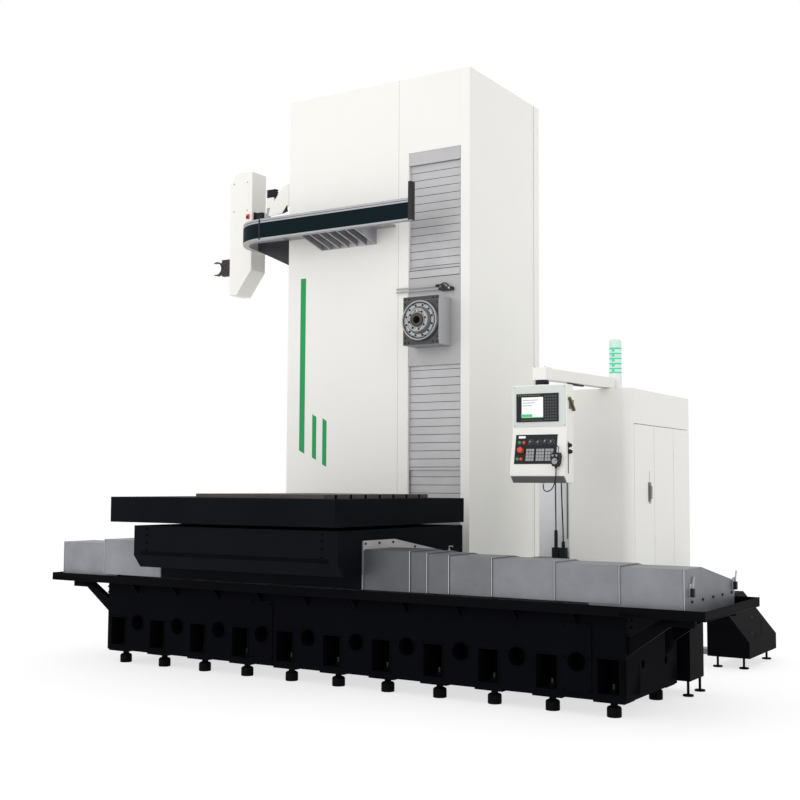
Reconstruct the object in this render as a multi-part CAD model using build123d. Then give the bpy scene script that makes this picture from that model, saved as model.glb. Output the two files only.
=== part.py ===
from build123d import *
import math
import os

# A horizontal boring mill: a long bed along X with a rotary table between telescopic way
# covers, and behind it a clad column whose headstock slides up and down in a slot.
# Sizes are in millimetres. X runs along the bed, Y to the back, Z up from the floor.
# Places are written from the middle of the bed, and every piece is moved at the end so that
# the origin lies on the floor under the middle of the whole machine.

# Running clearances
SLIDE_GAP = 0.3
MOVING_GAP = 5

# Bed casting
BED_LENGTH = 4752
BED_DEPTH = 1000
BED_BOTTOM = 115
BED_TOP = 690
WAY_DEPTH = 840
WAY_WIDTH = 200
WAY_TOP = 830
WINDOW_COUNT = 11
WINDOW_PITCH = 450
WINDOW_WIDTH = 155
WINDOW_LOW = 159
WINDOW_HIGH = 391
WINDOW_RECESS = 250
PORT_RADIUS = 65
PORT_HEIGHT = 358
PORT_RECESS = 160
PLATE_PORT_INDEX = [3, 9]
PLATE_WIDTH = 215
PLATE_LOW = 150
PLATE_HIGH = 620
PLATE_RISE = 8
END_HOLES = [(-190, 334), (267, 307)]
END_HOLE_RADIUS = 30
END_HOLE_DEPTH = 90

# Levelling feet
FOOT_SETBACK = 100
FOOT_HEIGHT = 100
FOOT_RADIUS = 47.5
FOOT_PAD = 24
FOOT_NECK_RADIUS = 17
FOOT_NECK_LENGTH = 30
FOOT_NUT_RADIUS = 42
SCREW_FOOT_RADIUS = 40
SCREW_FOOT_PAD = 12
SCREW_RADIUS = 10

# Chip trays round the bed
TRAY_REACH = 120
TRAY_FLOOR = 8
TRAY_LIP_TOP = 755
TRAY_LIP = 8
TRAY_WAY_GAP = 5
PAN_REACH = 574
GUSSET_SIZE = 90
GUSSET_THICKNESS = 12
STRUT_OFFSET = 450
STRUT_WIDTH = 50
STRUT_LOW = 420
STRUT_FOOT = 110
STRUT_BAR = 60
STRUT_BEND = 292
STRUT_REACH = 457

# Telescopic way covers, counted from the saddle outwards
COVER_FRONT = -549
COVER_BACK = 538
COVER_RIDGE = -209
COVER_TOP = 1009
COVER_BACK_TOP = 874
COVER_BOTTOM = 765
COVER_STEP = 9
COVER_SHEET = 4
COVER_END_SHEET = 6
WIPER_LENGTH = 12
RIGHT_ENDS = [762, 903, 1078, 1419, 1893, 2356, 2793]
RIGHT_LENGTHS = [400, 420, 460, 520, 580, 620, 660]
LEFT_STARTS = [-2336, -2320, -2310, -2330, -2873]
LEFT_LENGTHS = [659, 605, 563, 553, 660]
FLANGE_SHEET = 12
FLANGE_FRONT = -615
FLANGE_TOP = 1126
FLANGE_RIDGE = -175
FLANGE_BACK = 748
FLANGE_BACK_TOP = 977

# Saddle and rotary table
SADDLE_LEFT = -1665
SADDLE_RIGHT = 350
SADDLE_HALF_DEPTH = 930
SADDLE_BOTTOM = 868
SADDLE_KNEE = 965
SADDLE_INSET = 75
SADDLE_TOP = 1205
BASE_HALF_DEPTH = 600
TABLE_LENGTH = 2263
TABLE_DEPTH = 1920
TABLE_BOTTOM = 1230
TABLE_TOP = 1435
RING_RADIUS = 750
CLAMP_LEFT = -1047
CLAMP_RIGHT = 200
CLAMP_FRONT = -890
CLAMP_BACK = 600
CLAMP_RISE = 32
TABLE_EDGE = 8
TSLOT_COUNT = 7
TSLOT_PITCH = 200
TSLOT_NECK = 28
TSLOT_HEAD = 50
TSLOT_NECK_DEPTH = 28
TSLOT_HEAD_DEPTH = 20

# Bed of the column, behind the table's bed
REAR_BED_LEFT = -1850
REAR_BED_RIGHT = -60
REAR_BED_BACK = 3300
REAR_BED_TOP = 380
REAR_FOOT_ROWS = 4
REAR_FOOT_START = 300

# Column and its covers
COLUMN_FRONT = 1530
COLUMN_BACK = 3020
COLUMN_LEFT = -2005
COLUMN_RIGHT = 88
COLUMN_TOP = 5455
CLADDING = 24
CASTING_RIGHT = -640
SLOT_LEFT = -578
SLOT_RIGHT = -7
HEADER_HEIGHT = 735
SEAM_X = -690
SEAM_Y = 2850
SEAM_WIDTH = 4
SEAM_DEPTH = 6
GUIDE_DEPTH = 100
GUIDE_RISE = 40
GUIDE_FRONTS = [1700, 2300]

# Head: plate, headstock and spindles
PLATE_THICKNESS = 26
PLATE_SETBACK = 6
HEAD_BOTTOM = 2666
HEAD_TOP = 3588
STOCK_BOTTOM = 2700
STOCK_TOP = 3550
STOCK_RIGHT = -20
STOCK_LEFT = -575
STOCK_BACK = 2500
RAM_LEFT = -501
RAM_RIGHT = -115
RAM_BOTTOM = 2837
RAM_TOP = 3288
RAM_FRONT = 1320
GUIDE_PAD_HEIGHT = 240
SPINDLE_X = -310
SPINDLE_Z = 3060
FLANGE_RADIUS = 185
FLANGE_THICKNESS = 30
FLANGE_BOLTS = 8
FLANGE_BOLT_CIRCLE = 320
FLANGE_BOLT_RADIUS = 7
SLEEVE_RADIUS = 105
SLEEVE_BACK = 2450
NOSE_RADIUS = 110
NOSE_REACH = 35
BORING_RADIUS = 65
BORING_REACH = 15
BORING_BACK = 2400
TAPER_MOUTH = 35
TAPER_END = 21
TAPER_DEPTH = 102
PIPE_RADIUS = 11
PIPE_Y = 1500
PIPE_HEIGHTS = [3375, 3406]
PIPE_LEFT = -690
PIPE_RIGHT = -204
PIPE_BLOCK_RIGHT = -76

# Slatted aprons that close the column's slot above and below the head
APRON_SHEET = 10
APRON_STEP = 15
APRON_LEFT = -600
APRON_RIGHT = 15
APRON_LAP = 33
APRON_UPPER_RISE = 28
APRON_LOWER_BOTTOM = 1686
UPPER_MID_DROP = 660
UPPER_MID_RISE = 360
LOWER_MID = (1050, 2000)
UPPER_FIXED_DROP = 285
LOWER_FIXED_TOP = 1400
HEADER_PLATE_HEIGHT = 125
HEADER_SETBACK = 3
SLAT_PITCH = 88
SLAT_GROOVE = 4

# Tool changer's rail round the front left corner of the column
RAIL_FRONT = 1100
RAIL_THICKNESS = 60
RAIL_LOW = 3960
RAIL_HIGH = 4170
RAIL_BAND_LOW = 3988
RAIL_BAND_HIGH = 4115
RAIL_BAND_INSET = 12
RAIL_RIGHT = -285
RAIL_LEFT = -2480
RAIL_BEND = 430
RAIL_BACK = 2900
RAIL_POST_RISE = 152
RAIL_POST_WIDTH = 32
BRACKET_TOP = 4040
BRACKET_FACE = 3876
BRACKET_FRONT_SPAN = (-1587, -940)
BRACKET_SHELF_RIGHT = -720
BRACKET_RIBS = 7
BRACKET_RIB = 14
BRACKET_PLATE = 16
SIDE_WEB_LOW = 3775
SIDE_WEB_SPAN = (1545, 2350)
SIDE_WEB_RIBS = 6

# Tool changer's housing and gripper
HOUSING_LEFT = -2900
HOUSING_RIGHT = -2605
HOUSING_FRONT = 1660
HOUSING_BACK = 1900
HOUSING_BOTTOM = 3549
HOUSING_TOP = 4852
HOUSING_KNEE = 3802
HOUSING_TOE = 100
HOUSING_BEVEL = 90
HOUSING_EDGE = 6
CARRIAGE_LOW = 3990
CARRIAGE_HIGH = 4150
CARRIAGE_DEPTH = 120
GRIPPER_REACH = 200
GRIPPER_LOW = 3785
GRIPPER_HIGH = 3965
GRIPPER_THICKNESS = 46
FINGER_RADIUS = 62
FINGER_WIDTH = 14

# Switch cabinet, doors and signal light
CABINET_LEFT = 1043
CABINET_RIGHT = 1610
CABINET_FRONT = 1600
CABINET_BACK = 3130
CABINET_TOP = 2385
CABINET_CORNER = 84
CABINET_WALL = 40
CABINET_FRAME = 60
DOOR_TOP = 2085
DOOR_BOTTOM = 60
DOOR_SHEET = 24
DOOR_GAP = 6
DOOR_LINES = [1684, 2171, 2682, 3130]
HINGE_RADIUS = 5
HINGE_LENGTH = 80
HINGE_INSET = 220
TOWER_X = 1398
TOWER_Y = 1806
TOWER_RADIUS = 53
TOWER_BASE_TOP = 2528
TOWER_TOP = 2829
TOWER_LENSES = 3
TOWER_GROOVE = 5

# Service cabinet behind the table, with two hanging cables
SERVICE_LEFT = 560
SERVICE_RIGHT = 980
SERVICE_FRONT = 2000
SERVICE_BACK = 2400
SERVICE_TOP = 1750
SERVICE_EDGE = 8
SHELF_TOP = 895
SHELF_SHEET = 12
SHELF_FRONT = 1840
CONNECTOR_X = [786, 858]
CONNECTOR_SIZE = 58
CONNECTOR_TOP = 990
BOOT_RADIUS = 15
BOOT_TOPS = [1145, 1045]
GLAND_X = [782, 838]
GLAND_Z = 1640
GLAND_RADIUS = 20
GLAND_REACH = 28
CABLE_RADIUS = 6
CABLE_RUN = 38

# Operator's pendant on its swinging arm
ARM_PIVOT = (1380, 1700)
ARM_END = (1243, 630)
ARM_LOW = 2392
ARM_HIGH = 2482
ARM_WIDTH = 96
ARM_BOX = 122
ARM_EDGE = 6
PIVOT_RADIUS = 46
CASE_LEFT = 1010
CASE_RIGHT = 1483
CASE_FRONT = 570
CASE_BACK = 690
CASE_TOP = 2345
CASE_BOTTOM = 1568
CONSOLE_TOP = 1960
CONSOLE_LOW = 1705
CONSOLE_FRONT = 522
CONSOLE_LIP = 1622
NECK_RADIUS = 44
WHEEL_LEFT = 1382
WHEEL_WIDTH = 76
WHEEL_LOW = 1694
WHEEL_HIGH = 1868
WHEEL_THICKNESS = 40
WHEEL_RADIUS = 29
LEAD_RADIUS = 4.5
LEAD_GLAND_RADIUS = 10
LEAD_GLAND = 16
LEAD_REACH = 170
LEAD_ROUTE = [(0, 50), (0.065, 100), (0.21, 143), (0.42, 170), (0.654, 181), (0.902, 176), (1, 155)]

# Chip conveyor and coolant tank at the back of the bed
CONVEYOR_LEFT = 250
CONVEYOR_RIGHT = 2430
CONVEYOR_FRONT = 630
CONVEYOR_BACK = 950
CONVEYOR_BOTTOM = 110
CONVEYOR_TOP = 600
CONVEYOR_WALL = 10
CONVEYOR_DEPTH = 220
CLEAT_PITCH = 152
CLEAT_RISE = 30
CLEAT_THICKNESS = 8
LUG_PORT_INDEX = [5, 7, 9]
LUG_WIDTH = 60
LUG_LOW = 400
LUG_HIGH = 450
TANK_LEFT = 2075
TANK_RIGHT = 2440
TANK_FRONT = 2150
TANK_BACK = 3000
TANK_BOTTOM = 95
TANK_SHOULDER = 230
TANK_TOP = 590
TANK_SLOPE = 290
TANK_FOOT_INSET = 70
FOOT_INSET = 24

# Cable ducts on the floor between the column's bed, the cabinets and the tank
DUCT_WIDTH = 150
DUCT_HEIGHT = 50
DUCT_Y = 2920
DUCT_BRANCH_X = 760
DUCT_RISER = 40
DUCT_RISER_TOP = 200

# Sizes worked out from those above
BED_END = BED_LENGTH / 2
BED_SIDE = BED_DEPTH / 2
PAN_END = BED_END + PAN_REACH
TRAY_SIDE = BED_SIDE + TRAY_REACH
TRAY_TOP = BED_TOP + TRAY_FLOOR
TABLE_LEFT = SADDLE_RIGHT - TABLE_LENGTH
TABLE_MID = SADDLE_RIGHT - TABLE_LENGTH / 2
WINDOW_PLACES = [(i - (WINDOW_COUNT - 1) / 2) * WINDOW_PITCH for i in range(WINDOW_COUNT)]
PORT_PLACES = [x + WINDOW_PITCH / 2 for x in WINDOW_PLACES[:-1]]
PANEL_BACK = COLUMN_FRONT + CLADDING
SLOT_TOP = COLUMN_TOP - HEADER_HEIGHT
HEAD_PLATE_FRONT = COLUMN_FRONT + PLATE_SETBACK
HEAD_PLATE_BACK = HEAD_PLATE_FRONT + PLATE_THICKNESS
FINGER_CENTRE = HOUSING_LEFT - GRIPPER_REACH - FINGER_RADIUS
GRIPPER_TIP = FINGER_CENTRE - math.sqrt((FINGER_RADIUS + FINGER_WIDTH) ** 2 - FINGER_RADIUS ** 2)
CABLE_TURN = math.radians(30)
CONNECTOR_Y = SERVICE_FRONT - GLAND_REACH - CABLE_RUN * (1 + math.cos(CABLE_TURN) + math.sin(CABLE_TURN))
MID_X = (GRIPPER_TIP + PAN_END) / 2
MID_Y = (REAR_BED_BACK - TABLE_DEPTH / 2) / 2


def block(x0, x1, y0, y1, z0, z1):
    """A box between two corners."""
    size = Box(x1 - x0, y1 - y0, z1 - z0)
    return Pos((x0 + x1) / 2, (y0 + y1) / 2, (z0 + z1) / 2) * size


def rod_z(x, y, z0, z1, radius):
    """An upright round bar."""
    return Pos(x, y, (z0 + z1) / 2) * Cylinder(radius, z1 - z0)


def rod_y(x, z, y0, y1, radius):
    """A round bar that runs front to back."""
    return Pos(x, (y0 + y1) / 2, z) * Rot(90, 0, 0) * Cylinder(radius, y1 - y0)


def rod_x(y, z, x0, x1, radius):
    """A round bar that runs along the bed."""
    return Pos((x0 + x1) / 2, y, z) * Rot(0, 90, 0) * Cylinder(radius, x1 - x0)


def along_x(points, x0, x1):
    """A profile of (y, z) points pulled from x0 to x1."""
    face = make_face(Polyline(*[(x0, y, z) for y, z in points], close=True))
    return extrude(face, amount=x1 - x0, dir=(1, 0, 0))


def along_y(points, y0, y1):
    """A profile of (x, z) points pulled from y0 to y1."""
    face = make_face(Polyline(*[(x, y0, z) for x, z in points], close=True))
    return extrude(face, amount=y1 - y0, dir=(0, 1, 0))


def round_profile(points, x, y):
    """A turned piece: (radius, height) points spun round an upright axis at x, y."""
    face = make_face(Polyline(*[(r, 0, z) for r, z in points], close=True))
    return Pos(x, y, 0) * revolve(face, axis=Axis.Z)


def group(solids):
    """Solids that share one node."""
    return Compound(solids)


def end_holes(solid):
    """Cut the two round holes into the right end of a piece of the bed."""
    for y, z in END_HOLES:
        solid -= rod_x(y, z, BED_END - END_HOLE_DEPTH, BED_END, END_HOLE_RADIUS)
    return solid


def bed_casting():
    """The heart of the bed, between the two windowed sides, with round holes in its right end."""
    half = BED_SIDE - WINDOW_RECESS
    return end_holes(block(-BED_END, BED_END, -half, half, BED_BOTTOM, BED_TOP))


def bed_side(side, plated):
    """One long side of the bed: a sill, piers between the foot windows, and the wall above.
    A round port runs into each pier, and some ports have a plate round them."""
    y0, y1 = sorted((side * (BED_SIDE - WINDOW_RECESS), side * BED_SIDE))
    outside = side * (BED_SIDE + PLATE_RISE)
    sill = block(-BED_END, BED_END, y0, y1, BED_BOTTOM, WINDOW_LOW)
    wall = block(-BED_END, BED_END, y0, y1, WINDOW_HIGH, BED_TOP)
    half = WINDOW_WIDTH / 2
    starts = [-BED_END] + [x + half for x in WINDOW_PLACES]
    ends = [x - half for x in WINDOW_PLACES] + [BED_END]
    piers = [block(a, b, y0, y1, WINDOW_LOW, WINDOW_HIGH) for a, b in zip(starts, ends)]
    piers[-1] = end_holes(piers[-1])
    depths = sorted((outside, side * (BED_SIDE - PORT_RECESS)))
    plates = []
    for i, x in enumerate(PORT_PLACES):
        port = rod_y(x, PORT_HEIGHT, *depths, PORT_RADIUS)
        wall -= port
        piers[i + 1] -= port
        if i in plated:
            low, high = sorted((side * BED_SIDE, outside))
            plate = block(x - PLATE_WIDTH / 2, x + PLATE_WIDTH / 2, low, high, PLATE_LOW, PLATE_HIGH)
            plates.append(plate - port)
    return group([sill, wall] + piers + plates)


def bed_ways():
    """The two guideways that the saddle slides on."""
    ways = []
    for side in (-1, 1):
        y0, y1 = sorted((side * WAY_DEPTH / 2, side * (WAY_DEPTH / 2 - WAY_WIDTH)))
        ways.append(block(-BED_END, BED_END, y0, y1, BED_TOP, WAY_TOP))
    return group(ways)


def levelling_foot(x, y):
    """A round pad that rises in a cone to the neck of its screw, under a nut at the casting."""
    neck = FOOT_HEIGHT - FOOT_NECK_LENGTH
    profile = [
        (0, 0),
        (FOOT_RADIUS, 0),
        (FOOT_RADIUS, FOOT_PAD),
        (FOOT_NECK_RADIUS, neck),
        (FOOT_NECK_RADIUS, FOOT_HEIGHT),
        (FOOT_NUT_RADIUS, FOOT_HEIGHT),
        (FOOT_NUT_RADIUS, BED_BOTTOM),
        (0, BED_BOTTOM),
    ]
    return round_profile(profile, x, y)


def rear_foot_places():
    """Where the feet of the column's bed stand."""
    first = BED_SIDE + REAR_FOOT_START
    last = REAR_BED_BACK - FOOT_SETBACK
    step = (last - first) / (REAR_FOOT_ROWS - 1)
    places = []
    for x in (REAR_BED_LEFT + FOOT_SETBACK, REAR_BED_RIGHT - FOOT_SETBACK):
        for i in range(REAR_FOOT_ROWS):
            places.append((x, first + i * step))
    return places


def screw_foot(x, y, top):
    """A thin screw on a flat disc."""
    foot = rod_z(x, y, 0, SCREW_FOOT_PAD, SCREW_FOOT_RADIUS)
    return foot + rod_z(x, y, SCREW_FOOT_PAD, top, SCREW_RADIUS)


def levelling_feet():
    """All the feet under the two beds, the conveyor and the tank."""
    feet = []
    for side in (-1, 1):
        for x in WINDOW_PLACES:
            feet.append(levelling_foot(x, side * (BED_SIDE - FOOT_SETBACK)))
    for x, y in rear_foot_places():
        feet.append(levelling_foot(x, y))
    for x in (CONVEYOR_LEFT + FOOT_INSET, CONVEYOR_RIGHT - FOOT_INSET):
        for y in (CONVEYOR_FRONT + FOOT_INSET, CONVEYOR_BACK - FOOT_INSET):
            feet.append(screw_foot(x, y, CONVEYOR_BOTTOM))
    for x in (TANK_LEFT + TANK_FOOT_INSET, TANK_RIGHT - TANK_FOOT_INSET):
        for y in (TANK_FRONT + TANK_FOOT_INSET, TANK_BACK - TANK_FOOT_INSET):
            feet.append(screw_foot(x, y, TANK_BOTTOM))
    return group(feet)


def rear_bed():
    """The low casting behind the bed that carries the column."""
    return block(REAR_BED_LEFT, REAR_BED_RIGHT, BED_SIDE, REAR_BED_BACK, BED_BOTTOM, REAR_BED_TOP)


def chip_trays():
    """The chip trays along both sides of the ways, with lips and gussets under their overhang."""
    solids = []
    for side in (-1, 1):
        inner = side * (WAY_DEPTH / 2 + TRAY_WAY_GAP)
        outer = side * TRAY_SIDE
        lip = outer - side * TRAY_LIP
        solids.append(block(-BED_END, BED_END, *sorted((inner, outer)), BED_TOP, TRAY_TOP))
        solids.append(block(-BED_END, BED_END, *sorted((lip, outer)), TRAY_TOP, TRAY_LIP_TOP))
        face = side * BED_SIDE
        reach = face + side * GUSSET_SIZE
        profile = [(face, BED_TOP), (reach, BED_TOP), (face, BED_TOP - GUSSET_SIZE)]
        for i, x in enumerate(PORT_PLACES):
            if i not in PLATE_PORT_INDEX:
                solids.append(along_x(profile, x - GUSSET_THICKNESS / 2, x + GUSSET_THICKNESS / 2))
    return group(solids)


def pan_strut(near, side, y):
    """A bent strut under a chip pan: a raking bar off the bed's end and a flat one under the pan."""
    bend = near + side * STRUT_BEND
    end = near + side * STRUT_REACH
    top = (bend - side * STRUT_BAR / 2, BED_TOP)
    knee = (bend, BED_TOP - STRUT_BAR)
    raking = [(near, STRUT_LOW), (near, STRUT_LOW + STRUT_FOOT), top, knee]
    flat = [top, (end, BED_TOP), (end, BED_TOP - STRUT_BAR), knee]
    y0 = y - STRUT_WIDTH / 2
    return [along_y(profile, y0, y0 + STRUT_WIDTH) for profile in (raking, flat)]


def chip_pans():
    """The chip pans off both ends of the bed, with lips on three sides and two struts each."""
    solids = []
    for side in (-1, 1):
        near = side * BED_END
        far = side * PAN_END
        lip = far - side * TRAY_LIP
        x0, x1 = sorted((near, far))
        inner = TRAY_SIDE - TRAY_LIP
        solids.append(block(x0, x1, -TRAY_SIDE, TRAY_SIDE, BED_TOP, TRAY_TOP))
        solids.append(block(x0, x1, -TRAY_SIDE, -inner, TRAY_TOP, TRAY_LIP_TOP))
        solids.append(block(x0, x1, inner, TRAY_SIDE, TRAY_TOP, TRAY_LIP_TOP))
        solids.append(block(*sorted((lip, far)), -inner, inner, TRAY_TOP, TRAY_LIP_TOP))
        for y in (-STRUT_OFFSET, STRUT_OFFSET):
            solids += pan_strut(near, side, y)
    return group(solids)


def cover_profile(step, inset, bottom):
    """Outline of a way cover in (y, z), grown by a number of steps and shrunk by an inset."""
    grow = step * COVER_STEP - inset
    return [
        (COVER_FRONT - grow, bottom),
        (COVER_FRONT - grow, COVER_TOP + grow),
        (COVER_RIDGE, COVER_TOP + grow),
        (COVER_BACK + grow, COVER_BACK_TOP + grow),
        (COVER_BACK + grow, bottom),
    ]


def cover_section(step, x0, x1, outward, fixed):
    """One bent hood. A moving one has a wiper at its outer end, a fixed one has an end wall."""
    bottom = TRAY_TOP + SLIDE_GAP if fixed else COVER_BOTTOM
    hood = along_x(cover_profile(step, 0, bottom), x0, x1)
    margin = COVER_END_SHEET if fixed else WIPER_LENGTH
    low, high = (x0, x1 - margin) if outward > 0 else (x0 + margin, x1)
    hood -= along_x(cover_profile(step, COVER_SHEET, bottom), low, high)
    if fixed:
        return hood
    wiper_inset = COVER_STEP - SLIDE_GAP
    return hood - along_x(cover_profile(step, wiper_inset, bottom), x0, x1)


def right_cover(index):
    """A section to the right of the saddle, 0 next to it."""
    last = len(RIGHT_ENDS) - 1
    end = RIGHT_ENDS[index]
    return cover_section(last - index, end - RIGHT_LENGTHS[index], end, 1, index == last)


def left_cover(index):
    """A section to the left of the saddle, 0 next to it."""
    outermost = len(RIGHT_ENDS) - 1
    start = LEFT_STARTS[index]
    fixed = index == len(LEFT_STARTS) - 1
    return cover_section(outermost - index, start, start + LEFT_LENGTHS[index], -1, fixed)


def way_channel(x0, x1, top):
    """The space that the raised ways take through a piece of the saddle."""
    side = WAY_DEPTH / 2 + TRAY_WAY_GAP
    return block(x0, x1, -side, side, COVER_BOTTOM, top)


def saddle():
    """The saddle: a wide body with raked lower sides on a base that straddles the ways."""
    side = SADDLE_HALF_DEPTH
    profile = [
        (-side, SADDLE_TOP),
        (-side, SADDLE_KNEE),
        (-side + SADDLE_INSET, SADDLE_BOTTOM),
        (side - SADDLE_INSET, SADDLE_BOTTOM),
        (side, SADDLE_KNEE),
        (side, SADDLE_TOP),
    ]
    body = along_x(profile, SADDLE_LEFT, SADDLE_RIGHT)
    base = BASE_HALF_DEPTH
    body += block(SADDLE_LEFT, SADDLE_RIGHT, -base, base, COVER_BOTTOM, SADDLE_BOTTOM)
    body -= way_channel(SADDLE_LEFT, SADDLE_RIGHT, WAY_TOP + SLIDE_GAP)
    return body + rod_z(TABLE_MID, 0, SADDLE_TOP, TABLE_BOTTOM - SLIDE_GAP, RING_RADIUS)


def cover_flanges():
    """The plates on both ends of the saddle that the first way covers are screwed to."""
    profile = [
        (FLANGE_FRONT, COVER_BOTTOM),
        (FLANGE_FRONT, FLANGE_TOP),
        (FLANGE_RIDGE, FLANGE_TOP),
        (FLANGE_BACK, FLANGE_BACK_TOP),
        (FLANGE_BACK, COVER_BOTTOM),
    ]
    plates = []
    for x in (SADDLE_RIGHT, SADDLE_LEFT - FLANGE_SHEET):
        plate = along_x(profile, x, x + FLANGE_SHEET)
        plates.append(plate - way_channel(x, x + FLANGE_SHEET, WAY_TOP + MOVING_GAP))
    return group(plates)


def t_slot(y, top):
    """The T-shaped groove for clamping bolts, as the solid to cut away."""
    neck_low = top - TSLOT_NECK_DEPTH
    slot = block(CLAMP_LEFT, CLAMP_RIGHT, y - TSLOT_NECK / 2, y + TSLOT_NECK / 2, neck_low, top)
    head_low = neck_low - TSLOT_HEAD_DEPTH
    return slot + block(CLAMP_LEFT, CLAMP_RIGHT, y - TSLOT_HEAD / 2, y + TSLOT_HEAD / 2, head_low, neck_low)


def rotary_table():
    """The table: a heavy slab with a raised clamping face cut by T-slots."""
    slab = block(TABLE_LEFT, SADDLE_RIGHT, -TABLE_DEPTH / 2, TABLE_DEPTH / 2, TABLE_BOTTOM, TABLE_TOP)
    slab = chamfer(slab.edges().filter_by(Axis.Z), TABLE_EDGE)
    top = TABLE_TOP + CLAMP_RISE
    slab += block(CLAMP_LEFT, CLAMP_RIGHT, CLAMP_FRONT, CLAMP_BACK, TABLE_TOP, top)
    middle = (CLAMP_FRONT + CLAMP_BACK) / 2
    for i in range(TSLOT_COUNT):
        slab -= t_slot(middle + (i - (TSLOT_COUNT - 1) / 2) * TSLOT_PITCH, top)
    return slab


def column_casting():
    """The upright casting, with two guide rails down the side that the headstock runs on."""
    left = COLUMN_LEFT + CLADDING
    back = COLUMN_BACK - CLADDING
    top = COLUMN_TOP - CLADDING
    casting = block(left, CASTING_RIGHT, PANEL_BACK, back, REAR_BED_TOP, top)
    rail_top = top - GUIDE_RISE
    for y in GUIDE_FRONTS:
        guide = block(CASTING_RIGHT, CASTING_RIGHT + GUIDE_RISE, y, y + GUIDE_DEPTH, REAR_BED_TOP, rail_top)
        casting += guide
    return casting


def column_front_covers():
    """The front covers round the slot: a wide one with an upright seam, a narrow one, a header."""
    left = block(COLUMN_LEFT, SLOT_LEFT, COLUMN_FRONT, PANEL_BACK, REAR_BED_TOP, COLUMN_TOP)
    left -= block(
        SEAM_X - SEAM_WIDTH / 2, SEAM_X + SEAM_WIDTH / 2,
        COLUMN_FRONT, COLUMN_FRONT + SEAM_DEPTH, REAR_BED_TOP, COLUMN_TOP,
    )
    right = block(SLOT_RIGHT, COLUMN_RIGHT, COLUMN_FRONT, PANEL_BACK, REAR_BED_TOP, COLUMN_TOP)
    header = block(SLOT_LEFT, SLOT_RIGHT, COLUMN_FRONT, PANEL_BACK, SLOT_TOP, COLUMN_TOP)
    return group([left, right, header])


def column_left_cover():
    """The cover on the column's left side."""
    return block(COLUMN_LEFT, COLUMN_LEFT + CLADDING, PANEL_BACK, COLUMN_BACK, REAR_BED_TOP, COLUMN_TOP)


def column_right_cover():
    """The cover on the column's right side, with its upright seam near the back."""
    panel = block(COLUMN_RIGHT - CLADDING, COLUMN_RIGHT, PANEL_BACK, COLUMN_BACK, REAR_BED_TOP, COLUMN_TOP)
    seam = block(
        COLUMN_RIGHT - SEAM_DEPTH, COLUMN_RIGHT,
        SEAM_Y - SEAM_WIDTH / 2, SEAM_Y + SEAM_WIDTH / 2, REAR_BED_TOP, COLUMN_TOP,
    )
    return panel - seam


def column_back_cover():
    """The cover on the column's back."""
    left = COLUMN_LEFT + CLADDING
    right = COLUMN_RIGHT - CLADDING
    return block(left, right, COLUMN_BACK - CLADDING, COLUMN_BACK, REAR_BED_TOP, COLUMN_TOP)


def column_top_cover():
    """The lid between the column's four side covers."""
    left = COLUMN_LEFT + CLADDING
    right = COLUMN_RIGHT - CLADDING
    back = COLUMN_BACK - CLADDING
    return block(left, right, PANEL_BACK, back, COLUMN_TOP - CLADDING, COLUMN_TOP)


def slatted_sheet(x0, layer, z0, z1):
    """A sheet of slats behind the slot. Layers lie one behind the other."""
    front = HEAD_PLATE_BACK + layer * APRON_STEP
    sheet = block(x0, APRON_RIGHT, front, front + APRON_SHEET, z0, z1)
    for i in range(1, math.ceil((z1 - z0) / SLAT_PITCH)):
        z = z0 + i * SLAT_PITCH
        sheet -= block(x0, APRON_RIGHT, front, front + SLAT_GROOVE, z, z + SLAT_GROOVE)
    return sheet


def apron_on_head():
    """The two slatted sheets that hang above and below the head plate and move with it."""
    upper = slatted_sheet(APRON_LEFT, 0, HEAD_TOP - APRON_LAP, SLOT_TOP + APRON_UPPER_RISE)
    lower = slatted_sheet(APRON_LEFT, 0, APRON_LOWER_BOTTOM, HEAD_BOTTOM + APRON_LAP)
    return group([upper, lower])


def apron_mid(low, high):
    """A sheet that runs between the head's sheet and the fixed one, guided by the casting."""
    return slatted_sheet(CASTING_RIGHT + SLIDE_GAP, 1, low, high)


def apron_fixed():
    """The fixed sheets at the ends of the slot and the plate under the header."""
    upper = slatted_sheet(CASTING_RIGHT, 2, SLOT_TOP - UPPER_FIXED_DROP, SLOT_TOP)
    lower = slatted_sheet(CASTING_RIGHT, 2, REAR_BED_TOP, LOWER_FIXED_TOP)
    plate = block(
        SLOT_LEFT + MOVING_GAP, SLOT_RIGHT - MOVING_GAP,
        COLUMN_FRONT + HEADER_SETBACK, PANEL_BACK, SLOT_TOP - HEADER_PLATE_HEIGHT, SLOT_TOP,
    )
    return group([upper, lower, plate])


def ram_space(y0, y1):
    """The outline of the headstock's ram between two depths."""
    return block(RAM_LEFT, RAM_RIGHT, y0, y1, RAM_BOTTOM, RAM_TOP)


def head_plate():
    """The plate that fills the slot round the headstock's ram."""
    left = SLOT_LEFT + MOVING_GAP
    right = SLOT_RIGHT - MOVING_GAP
    plate = block(left, right, HEAD_PLATE_FRONT, HEAD_PLATE_BACK, HEAD_BOTTOM, HEAD_TOP)
    return plate - ram_space(HEAD_PLATE_FRONT, HEAD_PLATE_BACK)


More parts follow.
